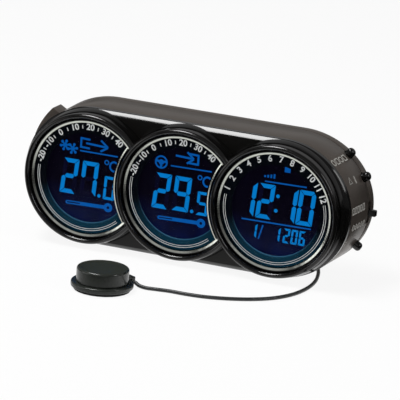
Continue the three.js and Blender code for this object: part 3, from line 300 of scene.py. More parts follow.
def soften(piece: Piece, axis: int, level: float, width: float, segments: int,
           profile: float = 0.5) -> None:
    """Rounds the rim that lies in a plane across an axis.

    Args:
        piece: the object to edit.
        axis: 0, 1 or 2 for X, Y or Z.
        level: the plane's place along that axis, in metres.
        width: how wide the rounding is, in millimetres.
        segments: edges across it.
        profile: its shape, half for a quarter circle and a quarter for a flat.
    """
    pick(piece, lambda spot: abs(spot[axis] - level) < TINY)
    bevel(width, segments, profile)
    release()


def outline(name: str, corners: list[Spot], front: float, back: float) -> Piece:
    """Adds a flat plate of any outline: a wide cylinder whose corners are moved in one by one.

    Args:
        name: the piece's name.
        corners: the corners to the right and up, in the case's millimetres.
        front: the depth of its front face.
        back: the depth of its back face.

    Returns:
        The new plate.
    """
    wide = 90.0
    plate = cylinder(name, 0, 0, wide, front, back, len(corners))
    for i, (x, z) in enumerate(corners):
        turn = 2 * math.pi * i / len(corners)
        start = stand(wide * math.sin(turn), 0, wide * math.cos(turn))
        pick(plate, lambda spot: abs(spot.x - start.x) + abs(spot.z - start.z) < 10 * NEAR)
        bpy.ops.transform.translate(value=stand(x, 0, z) - start)
    release()
    return plate


def combine(piece: Piece, tool: Piece, operation: str) -> Piece:
    """Joins, cuts or keeps the common part of two closed pieces, and removes the second.

    Args:
        piece: the piece that stays.
        tool: the piece that is used up.
        operation: UNION, DIFFERENCE or INTERSECT.

    Returns:
        The first piece with its new mesh.
    """
    take(piece)
    change = piece.modifiers.new("combine", "BOOLEAN")
    change.operation = operation
    change.solver = "EXACT"
    change.object = tool
    bpy.ops.object.modifier_apply(modifier=change.name)
    bpy.data.objects.remove(tool)
    return piece


def cut(piece: Piece, *tools: Piece) -> Piece:
    """Subtracts tools from a piece one after another.

    Args:
        piece: the piece that stays.
        *tools: the pieces that are used up.

    Returns:
        The same piece.
    """
    for tool in tools:
        combine(piece, tool, "DIFFERENCE")
    return piece


def merge(piece: Piece, *others: Piece) -> Piece:
    """Unites closed pieces into the first.

    Args:
        piece: the piece that stays.
        *others: the pieces that are used up.

    Returns:
        The same piece.
    """
    for other in others:
        combine(piece, other, "UNION")
    return piece


def gather(name: str, pieces: list[Piece]) -> Piece:
    """Joins loose pieces into one object without changing their meshes.

    Args:
        name: the joined object's name.
        pieces: the pieces to join.

    Returns:
        The joined object.
    """
    release()
    for piece in pieces:
        piece.select_set(True)
    bpy.context.view_layer.objects.active = pieces[0]
    bpy.ops.object.join()
    return named(name)


def mend_normals(piece: Piece) -> Piece:
    """Merges doubled vertices and turns every face outwards.

    Args:
        piece: the object to mend.

    Returns:
        The same piece.
    """
    pick(piece)
    bpy.ops.mesh.remove_doubles(threshold=5 * TINY)
    bpy.ops.mesh.normals_make_consistent(inside=False)
    release()
    return piece


def smooth(piece: Piece, degrees: float = 32.0) -> Piece:
    """Shades a piece smooth except across edges sharper than an angle.

    Args:
        piece: the object to shade.
        degrees: the angle.

    Returns:
        The same piece.
    """
    take(piece)
    bpy.ops.object.shade_smooth_by_angle(angle=math.radians(degrees))
    return piece


def stadium(name: str, inset: float, front: float, back: float, front_reach: float,
            back_reach: float, count: int = 176) -> Piece:
    """Adds a solid of the case's outline: two half ellipses joined by straight sides.

    Args:
        name: the piece's name.
        inset: how far its side lies inside the case's outline.
        front: the depth of its front face.
        back: the depth of its back face.
        front_reach: reach of the ends from an outer display's centre at the front.
        back_reach: the same at the back.
        count: sides of the two halves together.

    Returns:
        The new piece.
    """
    half = CASE_HALF_HEIGHT - inset
    piece = cylinder(name, 0, 0, half, front, back, count, turn=math.pi / count)
    for depth, reach in ((front, front_reach), (back, back_reach)):
        plane = stand(0, depth, 0)
        pick(piece, lambda place: abs(place.y - plane.y) < NEAR)
        bpy.ops.transform.resize(value=((reach - inset) / half, 1, 1), center_override=plane)
    for side in (1, -1):
        pick(piece, lambda place: place.x * side > 0)
        bpy.ops.transform.translate(value=(side * SPACING * MM, 0, 0))
    release()
    return piece


def spun(name: str, x: float, inner: float, outer: float, front: float, back: float,
         corner: float, corner_steps: int, start: float = 0.0, sweep: float = 360.0,
         steps: int = 160, lip: tuple[float, float] = (0.0, 0.0)) -> Piece:
    """Spins a bar with rounded front corners, or one and a sloping lip, about a display's axis.

    Args:
        name: the piece's name.
        x: the display's place to the right.
        inner: inner radius in millimetres.
        outer: outer radius.
        front: the depth of its front.
        back: the depth of its back.
        corner: radius of the two front corners.
        corner_steps: edges in each corner.
        start: angle where it starts, in degrees above the X axis.
        sweep: how far it turns, counter-clockwise from the front.
        steps: edges along the sweep.
        lip: width and depth of a slope in place of one corner, at the outside if the width is below 0.

    Returns:
        The new closed piece.
    """
    release()
    angle = math.radians(start)
    middle = (inner + outer) / 2
    place = stand(x + middle * math.cos(angle), (front + back) / 2, middle * math.sin(angle))
    bpy.ops.mesh.primitive_plane_add(size=1, location=place, rotation=(0, -angle, 0))
    bpy.context.object.scale = ((outer - inner) * MM, (back - front) * MM, 1)
    piece = named(name)
    width, depth = lip
    if depth:
        pick(piece)
        bpy.ops.mesh.bisect(plane_co=stand(x + (inner if width > 0 else outer), front + depth, 0),
                            plane_no=(-depth if width > 0 else depth, -abs(width), 0), clear_outer=True)
    if corner:
        edge = stand(x + (outer if width > 0 else inner), front, 0)
        pick(piece, lambda spot: abs(spot.y - edge.y) < TINY and (not depth or abs(spot.x - edge.x) < NEAR))
        bevel(corner, corner_steps, corners=True)
    whole = sweep >= 360.0
    pick(piece)
    if whole:
        bpy.ops.mesh.remove_doubles(threshold=TINY)
        bpy.ops.mesh.delete(type="ONLY_FACE")
        bpy.ops.mesh.select_all(action="SELECT")
    bpy.ops.mesh.spin(steps=steps, angle=math.radians(sweep), center=stand(x, 0, 0), axis=(0, 1, 0))
    return mend_normals(piece)


# Colours and shader nodes


def linear(code: str) -> tuple[float, float, float, float]:
    """Turns an sRGB hex colour into linear red, green, blue and alpha."""
    values = [int(code[i:i + 2], 16) / 255 for i in (1, 3, 5)]
    return (*(v / 12.92 if v <= 0.04045 else ((v + 0.055) / 1.055) ** 2.4 for v in values), 1.0)


def per(size_mm: float) -> float:
    """Turns the real size of a pattern in millimetres into its texture's scale."""
    return 1 / (size_mm * MM)


class NodeWork:
    """A node material in the making: its tree, its shader and its object coordinates."""

    def __init__(self, name: str) -> None:
        """Starts a material with nothing but its shader and its coordinates.

        Args:
            name: the material's name.
        """
        self.material = bpy.data.materials.new(name)
        self.material.use_nodes = True
        self.tree = self.material.node_tree
        self.shader = self.tree.nodes["Principled BSDF"]
        self.place = self.add("TexCoord").outputs["Object"]

    def fill(self, node: bpy.types.Node, settings: dict, links: dict) -> None:
        """Gives a node its settings and links.

        Args:
            node: the node.
            settings: attributes, input values by the socket's name or number, and a colour ramp's
                stops, each a place and an sRGB hex colour.
            links: what feeds its inputs: a socket, or a node for that node's first output.
        """
        for key, value in settings.items():
            if key == "stops":
                elements = node.color_ramp.elements
                while len(elements) < len(value):
                    elements.new(0.5)
                for element, (place, code) in zip(elements, value):
                    element.position = place
                    element.color = linear(code)
            elif isinstance(key, int) or key in node.inputs:
                node.inputs[key].default_value = value
            else:
                setattr(node, key, value)
        for key, source in links.items():
            socket = source.outputs[0] if isinstance(source, bpy.types.Node) else source
            self.tree.links.new(socket, node.inputs[key])

    def add(self, kind: str, settings: dict | None = None, links: dict | None = None) -> bpy.types.Node:
        """Adds a shader node with its settings and links.

        Args:
            kind: the node's type without its ShaderNode.
            settings: as in fill.
            links: as in fill.

        Returns:
            The node.
        """
        node = self.tree.nodes.new(f"ShaderNode{kind}")
        self.fill(node, settings or {}, links or {})
        return node

    def done(self, settings: dict, links: dict) -> bpy.types.Material:
        """Gives the shader its even values and its links, and hands the material over.

        Args:
            settings: as in fill.
            links: as in fill.

        Returns:
            The material.
        """
        self.fill(self.shader, settings, links)
        return self.material


@dataclass(frozen=True)
class MouldedPlastic:
    """Injection-moulded plastic: an even colour with slow mottling, and the tool's fine grain."""

    name: str
    colour: str
    shade: str
    roughness: float
    rough_spread: float
    ior: float
    grain_mm: float
    grain_depth_mm: float
    wave_mm: float = 9.0
    metallic: float = 0.0

    def make(self) -> bpy.types.Material:
        """Builds the material: mottled colour, roughness that wanders, and a grain bump.

        Returns:
            The material.
        """
        work = NodeWork(self.name)
        slow = work.add("TexNoise", {"Scale": per(self.wave_mm), "Detail": 3.0}, {"Vector": work.place})
        fine = work.add("TexNoise", {"Scale": per(self.grain_mm), "Detail": 4.0}, {"Vector": work.place})
        colour = work.add("ValToRGB", {"stops": [(0.3, self.shade), (0.7, self.colour)]}, {"Fac": slow})
        rough = work.add("MapRange", {"To Min": self.roughness - self.rough_spread,
                                      "To Max": self.roughness + self.rough_spread}, {"Value": slow})
        bump = work.add("Bump", {"Strength": 0.6, "Distance": self.grain_depth_mm * MM}, {"Height": fine})
        return work.done({"IOR": self.ior, "Metallic": self.metallic},
                         {"Base Color": colour, "Roughness": rough, "Normal": bump})


@dataclass(frozen=True)
class PlainMetal:
    """Plated or drawn metal: fine turning or drawing lines over an even tone."""

    name: str
    colour: str
    shade: str
    roughness: float
    line_mm: float = 0.3
    line_depth_mm: float = 0.01
    stain_mm: float = 3.0

    def make(self) -> bpy.types.Material:
        """Builds the material: lines in roughness and bump, and slow staining in colour.

        Returns:
            The material.
        """
        work = NodeWork(self.name)
        stain = work.add("TexNoise", {"Scale": per(self.stain_mm), "Detail": 3.0}, {"Vector": work.place})
        line = work.add("TexWave", {"wave_type": "RINGS", "Scale": per(self.line_mm) / 6.0,
                                    "Distortion": 1.5}, {"Vector": work.place}).outputs["Fac"]
        colour = work.add("ValToRGB", {"stops": [(0.25, self.shade), (0.75, self.colour)]}, {"Fac": stain})
        rough = work.add("MapRange", {"To Min": self.roughness * 0.8, "To Max": self.roughness * 1.25},
                         {"Value": line})
        bump = work.add("Bump", {"Strength": 0.4, "Distance": self.line_depth_mm * MM}, {"Height": line})
        return work.done({"Metallic": 1.0}, {"Base Color": colour, "Roughness": rough, "Normal": bump})


@dataclass(frozen=True)
class TintedLens:
    """Clear acrylic with a smoke tint and a coating against glare: see-through, with little gloss."""

    name: str = "acrylic_smoke_tint_polished"
    tint: str = "#E6EAF0"
    ior: float = 1.07
    dust_mm: float = 1.3

    def make(self) -> bpy.types.Material:
        """Builds the material: clear transmission, and dust that breaks up the gloss.

        Returns:
            The material.
        """
        work = NodeWork(self.name)
        dust = work.add("TexNoise", {"Scale": per(self.dust_mm), "Detail": 5.0}, {"Vector": work.place})
        rough = work.add("MapRange", {"To Min": 0.0, "To Max": 0.05}, {"Value": dust})
        return work.done({"Base Color": linear(self.tint), "Transmission Weight": 1.0, "IOR": self.ior},
                         {"Roughness": rough})


@dataclass(frozen=True)
class DialFilm:
    """Black printed film under the lens, with painted light on it: a painted teal reflection of the
    backlight low down, and a painted highlight on the window's cut edge.
    """

    name: str
    centre_x: float
    # edge is the colour of the painted highlight on the window's cut edge; glow is the colour of the painted
    # teal reflection of the backlight.
    edge: str = "#376682"
    glow: str = "#072B39"
    black: str = "#04060A"
    glow_heights_mm: tuple[float, float] = (-5.0, -20.0)
    glow_radii_mm: tuple[float, float] = (24.5, 19.6)
    edge_radii_mm: tuple[float, float] = (19.75, 19.35)

    def make(self) -> bpy.types.Material:
        """Builds the material: black above, a painted teal reflection of the backlight low down, and a
        painted highlight on the window's cut edge.

        Returns:
            The material.
        """
        work = NodeWork(self.name)
        moved = work.add("VectorMath", {"operation": "SUBTRACT", 1: stand(self.centre_x, 0, 0)},
                         {0: work.place})
        parts = work.add("SeparateXYZ", {}, {"Vector": moved}).outputs
        flat = work.add("CombineXYZ", {}, {"X": parts["X"], "Z": parts["Z"]})
        radius = work.add("VectorMath", {"operation": "LENGTH"}, {0: flat}).outputs["Value"]
        # Masks for the painted light: the painted backlight reflection fades in low down and in a band round
        # the window; the painted highlight lies on the window's cut edge.
        low, band, rim = (
            work.add("MapRange", {"From Min": start * MM, "From Max": end * MM, "To Min": least},
                     {"Value": source})
            for source, (start, end), least in ((parts["Z"], self.glow_heights_mm, 0.0),
                                                (radius, self.glow_radii_mm, 0.7),
                                                (radius, self.edge_radii_mm, 0.0)))
        amount, painted_rim_highlight = (work.add("Math", {"operation": "MULTIPLY"}, {0: low, 1: share})
                           for share in (band, rim))
        # The emission paints light: the backlight's reflection and the rim highlight; the black print itself
        # has no glow.
        colour = work.add("ValToRGB", {"stops": [(0.0, self.black), (1.0, self.glow)]}, {"Fac": amount})
        edge = work.add("Mix", {"data_type": "RGBA", 7: linear(self.edge)},
                        {0: painted_rim_highlight, 6: colour}).outputs[2]
        return work.done({"Emission Strength": 0.9, "Specular IOR Level": 0.05, "Roughness": 0.5},
                         {"Base Color": colour, "Emission Color": edge})


@dataclass(frozen=True)
class LiquidCrystal:
    """Negative liquid crystal cell: near black, with violet leak from the backlight at its edges."""

    name: str
    centre_x: float
    middle: str = "#05030C"
    leak: str = "#081033"
    leak_heights_mm: tuple[float, float] = (-3.0, -19.0)
    mottle_mm: float = 7.0

    def make(self) -> bpy.types.Material:
        """Builds the material: dark middle, a violet-blue leak low down, and faint mottling.

        Returns:
            The material.
        """
        work = NodeWork(self.name)
        moved = work.add("VectorMath", {"operation": "SUBTRACT", 1: stand(self.centre_x, 0, 0)},
                         {0: work.place})
        height = work.add("SeparateXYZ", {}, {"Vector": moved}).outputs["Z"]
        start, end = self.leak_heights_mm
        low = work.add("MapRange", {"From Min": start * MM, "From Max": end * MM}, {"Value": height})
        mottle = work.add("TexNoise", {"Scale": per(self.mottle_mm), "Detail": 2.0}, {"Vector": work.place})
        amount = work.add("Math", {"operation": "MULTIPLY"}, {0: low, 1: mottle})
        colour = work.add("ValToRGB", {"stops": [(0.0, self.middle), (0.55, self.leak)]}, {"Fac": amount})
        return work.done({"Base Color": linear(self.middle), "Emission Strength": 1.0,
                          "Specular IOR Level": 0.05, "Roughness": 0.35}, {"Emission Color": colour})


@dataclass(frozen=True)
class StudioPaper:
    """Matt white paper sweep with its shadows; mirrors see a lit sheet left of and behind the clock."""

    name: str = "paper_white_matt_sweep"
    colour: str = "#FBFBFB"
    shade: str = "#F7F7F7"
    fibre_mm: float = 2.0
    seen_share: float = 0.9
    dark_level: float = 0.02
    right_fade: tuple[float, float] = (0.095, 0.07)
    front_fade: tuple[float, float] = (-0.11, -0.06)
    far_fade: tuple[float, float] = (0.6, 0.4)
    backdrop_fade: tuple[float, float] = (0.1, 0.3)
    backdrop_share: float = 0.34

    def make(self) -> bpy.types.Material:
        """Builds the material: paper for the light, even white for the eye, a lit sheet for mirrors.

        Returns:
            The material.
        """
        work = NodeWork(self.name)
        fibre = work.add("TexNoise", {"Scale": per(self.fibre_mm), "Detail": 3.0}, {"Vector": work.place})
        colour = work.add("ValToRGB", {"stops": [(0.3, self.shade), (0.7, self.colour)]}, {"Fac": fibre})
        path = work.add("LightPath").outputs
        mirrored = work.add("Math", {"operation": "MAXIMUM"}, {
            0: path["Is Glossy Ray"], 1: path["Is Transmission Ray"]})
        share = work.add("Math", {"operation": "MULTIPLY_ADD", 1: self.seen_share},
                         {0: path["Is Camera Ray"], 2: mirrored})
        axes = work.add("SeparateXYZ", {}, {"Vector": work.place}).outputs
        right, front, far, backdrop = (
            work.add("MapRange", {"From Min": start, "From Max": end, "To Max": most}, {"Value": axes[axis]})
            for axis, (start, end), most in (("X", self.right_fade, 1.0), ("Y", self.front_fade, 1.0),
                                             ("Y", self.far_fade, 1.0),
                                             ("Z", self.backdrop_fade, self.backdrop_share)))
        beside = work.add("Math", {"operation": "MULTIPLY"}, {0: right, 1: front})
        lit = work.add("Math", {"operation": "MULTIPLY"}, {0: beside, 1: far})
        either = work.add("Math", {"operation": "MAXIMUM"}, {0: lit, 1: backdrop})
        sheet = work.add("MapRange", {"To Min": self.dark_level}, {"Value": either})
        level = work.add("Math", {"operation": "MULTIPLY_ADD"}, {
            0: mirrored, 1: sheet, 2: path["Is Camera Ray"]})
        glow = work.add("Emission", {"Color": linear("#FFFFFF")}, {"Strength": level})
        seen = work.add("MixShader", {}, {0: share, 1: work.shader, 2: glow})
        work.fill(work.tree.nodes["Material Output"], {}, {"Surface": seen})
        return work.done({"Roughness": 0.9, "Specular IOR Level": 0.1}, {"Base Color": colour})


@dataclass(frozen=True)
class BacklitFilm:
    """An area of the cell that lets its backlight through: blue, and a little uneven."""

    name: str
    colour: str
    shade: str
    base: str = "#020308"
    wave_mm: float = 5.0

    def make(self) -> bpy.types.Material:
        """Builds the material: blue emission with the backlight's slow unevenness.

        Returns:
            The material.
        """
        work = NodeWork(self.name)
        uneven = work.add("TexNoise", {"Scale": per(self.wave_mm), "Detail": 2.0}, {"Vector": work.place})
        colour = work.add("ValToRGB", {"stops": [(0.3, self.shade), (0.7, self.colour)]}, {"Fac": uneven})
        return work.done({"Base Color": linear(self.base), "Emission Strength": 1.0,
                          "Specular IOR Level": 0.05, "Roughness": 0.4}, {"Emission Color": colour})


@dataclass(frozen=True)
class ScreenInk:
    """Screen-printed ink: dense and matt, with the mesh's slight unevenness."""

    name: str
    colour: str
    shade: str
    mesh_mm: float = 0.4

    def make(self) -> bpy.types.Material:
        """Builds the material: ink whose tone breaks up a little at 0.4 mm, drawn coarse to show.

        Returns:
            The material.
        """
        work = NodeWork(self.name)
        mesh = work.add("TexNoise", {"Scale": per(self.mesh_mm), "Detail": 2.0}, {"Vector": work.place})
        colour = work.add("ValToRGB", {"stops": [(0.2, self.shade), (0.6, self.colour)]}, {"Fac": mesh})
        return work.done({"Roughness": 0.55}, {"Base Color": colour})


@dataclass(frozen=True)
class WoundWire:
    """Enamelled copper wire wound side by side: fine bright lines round the sleeve."""

    name: str = "copper_enamelled_wound"
    colour: str = "#C07A3C"
    shade: str = "#4A1E08"
    wire_mm: float = 0.5
    groove_mm: float = 0.1

    def make(self) -> bpy.types.Material:
        """Builds the material: wire turns side by side along X in colour and bump.

        Returns:
            The material.
        """
        work = NodeWork(self.name)
        turns = work.add("TexWave", {
            "wave_type": "BANDS", "bands_direction": "X", "Scale": per(self.wire_mm) / (2 * math.pi) * 2},
            {"Vector": work.place}).outputs["Fac"]
        colour = work.add("ValToRGB", {"stops": [(0.2, self.shade), (0.8, self.colour)]}, {"Fac": turns})
        bump = work.add("Bump", {"Strength": 0.8, "Distance": self.groove_mm * MM}, {"Height": turns})
        return work.done({"Metallic": 0.8, "Roughness": 0.3}, {"Base Color": colour, "Normal": bump})


@dataclass(frozen=True)
class SolderMask:
    """Glass-epoxy board with green solder mask and pale tracks under it."""

    name: str = "glass_epoxy_green_solder_mask"
    track: str = "#2E7A45"
    mask: str = "#12452A"
    cell_mm: float = 4.0

    def make(self) -> bpy.types.Material:
        """Builds the material: blocky tracks about 1 mm wide, lighter than the mask between them.

        Returns:
            The material.
        """
        work = NodeWork(self.name)
        cells = work.add("TexVoronoi", {"distance": "MANHATTAN", "feature": "DISTANCE_TO_EDGE",
                                        "Scale": per(self.cell_mm)}, {"Vector": work.place})
        colour = work.add("ValToRGB", {"stops": [(0.0, self.track), (0.12, self.track), (0.16, self.mask)]},
                          {"Fac": cells})
        return work.done({"Roughness": 0.4}, {"Base Color": colour})


@dataclass(frozen=True)
class CellJacket:
    """Shrink film printed in two plain tones over a zinc can."""

    name: str = "polyester_shrink_jacket_two_tone"
    band: str = "#6E7F96"
    body: str = "#26303F"
    half_mm: float = 24.0

    def make(self) -> bpy.types.Material:
        """Builds the material: a dark body with a lighter band at one end, satin gloss.

        Returns:
            The material.
        """
        work = NodeWork(self.name)
        across = work.add("SeparateXYZ", {}, {"Vector": work.place}).outputs["X"]
        along = work.add("MapRange", {"From Min": -self.half_mm * MM, "From Max": self.half_mm * MM},
                         {"Value": across})
        colour = work.add("ValToRGB", {"stops": [(0.0, self.band), (0.3, self.band), (0.31, self.body)]},
                          {"Fac": along})
        return work.done({"Roughness": 0.28, "Metallic": 0.35}, {"Base Color": colour})


class Finish(Enum):
    """The finishes of the clock, each by what it is and how it was made."""

    GLOSS_BEZEL = MouldedPlastic("abs_black_polished_moulding", "#0B0A09", "#070707", 0.13, 0.02, 1.5,
                                 0.8, 0.0012)
    BEZEL_SATIN = MouldedPlastic("abs_black_fine_spark_texture", "#0F0D0B", "#0B0A08", 0.40, 0.05, 1.36,
                                 0.5, 0.012)
    TRIM = MouldedPlastic("abs_black_trim_polished", "#0A0A0B", "#060606", 0.15, 0.03, 1.55, 0.8, 0.001)
    TRIM_LIP = PlainMetal("foil_chrome_hot_stamped_lip", "#C9CCC4", "#B9BCB4", 0.2, 0.5)
    CASE = MouldedPlastic("abs_brown_grey_satin_lacquer", "#5E5650", "#57504A", 0.33, 0.03, 1.5,
                          0.35, 0.006, wave_mm=14.0, metallic=0.5)
    KEY = MouldedPlastic("abs_black_key_polished", "#080808", "#050505", 0.10, 0.03, 1.5, 0.5, 0.001)
    SWITCH = MouldedPlastic("nylon_black_switch_body", "#222224", "#1A1A1C", 0.55, 0.05, 1.5, 0.4, 0.01)
    NYLON = MouldedPlastic("nylon_natural_moulded", "#D8D4C6", "#C9C4B4", 0.5, 0.05, 1.53, 0.6, 0.01)
    RUBBER = MouldedPlastic("rubber_black_moulded", "#1B1B1B", "#141414", 0.75, 0.08, 1.5, 0.4, 0.02)
    LEAD = MouldedPlastic("pvc_dark_grey_extruded", "#2B2D2D", "#222424", 0.38, 0.05, 1.5, 0.6, 0.008)
    SENSOR = MouldedPlastic("abs_green_black_moulded", "#2A2D29", "#262926", 0.20, 0.03, 1.5, 0.8, 0.002)
    DISH = MouldedPlastic("abs_green_black_etched", "#31342E", "#2B2E29", 0.42, 0.04, 1.15, 0.8, 0.004)
    FOAM = MouldedPlastic("acrylic_foam_tape", "#2C2C2C", "#1F1F1F", 0.95, 0.04, 1.45, 0.3, 0.05)
    GUIDE = MouldedPlastic("acrylic_frosted_guide", "#CFDDE6", "#C2D2DD", 0.3, 0.05, 1.49, 0.6, 0.005)
    FERRITE = MouldedPlastic("ferrite_sintered_ground", "#34343A", "#2A2A2E", 0.6, 0.06, 1.8, 0.3, 0.02)
    SCREW = PlainMetal("steel_zinc_plated_screw", "#B9BCC0", "#9DA0A4", 0.28)
    CONTACT = PlainMetal("steel_nickel_plated_sheet", "#C4C2BB", "#AAA79E", 0.22)
    LENS = TintedLens()
    LIT = BacklitFilm("lcd_lit_blue_backlight", "#0482D2", "#047CC8")
    LIT_DEEP = BacklitFilm("lcd_lit_deep_blue_backlight", "#055CAE", "#0554A2")
    GHOST = BacklitFilm("lcd_unlit_segment_leak", "#0B0A24", "#08071B")
    WHITE_INK = ScreenInk("ink_white_screen_printed", "#EFF2F2", "#D5DADB")
    GREY_INK = ScreenInk("ink_pale_grey_screen_printed", "#B4B2AC", "#8F8D88")
    WIRE = WoundWire()
    BOARD = SolderMask()
    CELL = CellJacket()


MADE: dict[str, bpy.types.Material] = {}


def finish_of(choice: object) -> bpy.types.Material:
    """Returns a finish's material, made at its first use.

    Args:
        choice: a member of Finish, or a finish of its own.

    Returns:
        The material.
    """
    spec = choice.value if isinstance(choice, Finish) else choice
    if spec.name not in MADE:
        MADE[spec.name] = spec.make()
    return MADE[spec.name]


def dress(piece: Piece, choice: object) -> Piece:
    """Gives a piece one finish all over.

    Args:
        piece: the object.
        choice: a member of Finish, or a finish of its own.

    Returns:
        The same piece.
    """
    piece.data.materials.clear()
    piece.data.materials.append(finish_of(choice))
    return piece


def place_on(piece: Piece, body: str, slot: str, *nodes: str) -> Piece:
    """Lets a piece ride on a body and hides the CAD nodes it stands for.

    Args:
        piece: the object.
        body: the body's name.
        slot: not used.
        *nodes: the nodes' names, none for a piece beside them.

    Returns:
        The same piece.
    """
    release()
    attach(piece, body)
    if nodes:
        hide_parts(*nodes)
    LOG.info("made %s", piece.name)
    return piece


def present(piece: Piece, choice: Finish, body: str, slot: str, node: str,
            degrees: float = 32.0) -> None:
    """Dresses and smooths a piece of one finish and places it on its body in a CAD node's stead.

    Args:
        piece: the object.
        choice: its finish.
        body: the body's name.
        slot: the slot's name.
        node: the node's name.
        degrees: the sharpest angle that is shaded smooth.
    """
    smooth(dress(piece, choice), degrees)
    place_on(piece, body, slot, node)


# The camera and the studio


def put(name: str, data: bpy.types.ID) -> Piece:
    """Puts a new object with its data into the scene.

    Args:
        name: the object's name.
        data: its data.

    Returns:
        The new object.
    """
    thing = bpy.data.objects.new(name, data)
    bpy.context.scene.collection.objects.link(thing)
    return thing


def turn_to(thing: Piece, right: Vector, up: Vector, out: Vector) -> None:
    """Turns an object so that its X, Y and Z point along three axes.

    Args:
        thing: the object.
        right: where its X points.
        up: where its Y points.
        out: where its Z points.
    """
    thing.rotation_mode = "QUATERNION"
    thing.rotation_quaternion = Matrix((right, up, out)).transposed().to_quaternion()


@dataclass
class Studio:
    """Camera, floor and soft lamps; the sweep, the aim and the lamps are in metres."""

    azimuth: float = 21.1
    elevation: float = 15.3
    roll: float = 4.15
    distance_mm: float = 1243.0
    right_mm: float = 8.712
    up_mm: float = -1.562
    lens_mm: float = 270.0
    sensor_mm: float = 36.0
    air_level: float = 0.15
    aim: Point = (0, 0, 0.03)
    sweep_y: float = -0.4
    sweep_width: float = 6.0
    sweep_depth: float = 4.0
    sweep_height: float = 2.5
    sweep_curve: float = 0.8

    def camera(self) -> None:
        """Places the camera from the view solved on the photograph."""
        a, e, r = (math.radians(v) for v in (self.azimuth, self.elevation, self.roll))
        right = Vector((math.cos(a), math.sin(a), 0))
        back = Vector((math.sin(a) * math.cos(e), -math.cos(a) * math.cos(e), math.sin(e)))
        up = back.cross(right)
        place = right * self.right_mm + up * self.up_mm + back * self.distance_mm
        data = bpy.data.cameras.new("camera")
        data.lens = self.lens_mm
        data.sensor_width = self.sensor_mm
        camera = put("camera", data)
        camera.location = stand(*place)
        image_right = right * math.cos(r) + up * math.sin(r)
        image_up = up * math.cos(r) - right * math.sin(r)
        turn_to(camera, image_right, image_up, back)
        bpy.context.scene.camera = camera

    def floor(self) -> None:
        """Adds a pale sweep: floor and backdrop in one sheet with a wide curve between them."""
        release()
        bpy.ops.mesh.primitive_plane_add(size=1, location=(0, self.sweep_y, 0))
        bpy.context.object.scale = (self.sweep_width, self.sweep_depth, 1)
        sheet = named("floor_sweep")
        pick(sheet, lambda spot: spot.y > 0)
        bpy.ops.mesh.extrude_region_move(TRANSFORM_OT_translate={"value": (0, 0, self.sweep_height)})
        pick(sheet, lambda spot: spot.y > 0 and spot.z < NEAR)
        bpy.ops.mesh.bevel(offset=self.sweep_curve, segments=24, affect="EDGES")
        release()
        smooth(sheet, 60)
        dress(sheet, StudioPaper())

    def lamp(self, name: str, place: Point, width: float, height: float, radiance: float) -> None:
        """Adds a soft box aimed at the clock, in metres; white paper that faces radiance one is white.

        Args:
            name: the lamp's name.
            place: where it stands.
            width: its width.
            height: its height.
            radiance: its brightness.
        """
        data = bpy.data.lights.new(name, "AREA")
        data.shape = "RECTANGLE"
        data.size = width
        data.size_y = height
        data.energy = radiance * math.pi * width * height
        lamp = put(name, data)
        lamp.location = place
        lamp.rotation_mode = "QUATERNION"
        lamp.rotation_quaternion = (Vector(self.aim) - Vector(place)).to_track_quat("-Z", "Y")

    def lights(self) -> None:
        """Adds the overhead box, two side boxes, a front fill and a dim even world."""
        self.lamp("overhead_box", (-0.29, -0.18, 0.85), 0.44, 0.26, 17.0)
        self.lamp("right_box", (0.90, -0.10, 0.60), 0.25, 0.5, 4.4)
        self.lamp("left_box", (-0.85, -0.55, 0.20), 0.75, 0.30, 1.7)
        self.lamp("front_box", (-0.10, -1.05, 0.75), 1.30, 0.60, 0.3)
        world = bpy.data.worlds.new("studio_air")
        world.use_nodes = True
        air = world.node_tree.nodes["Background"].inputs
        air["Color"].default_value = linear("#FFFFFF")
        air["Strength"].default_value = self.air_level
        bpy.context.scene.world = world

    def build(self) -> None:
        """Sets up the whole studio."""
        self.camera()
        self.floor()
        self.lights()
        bpy.context.scene.view_settings.view_transform = "Standard"


# The sensor's lead


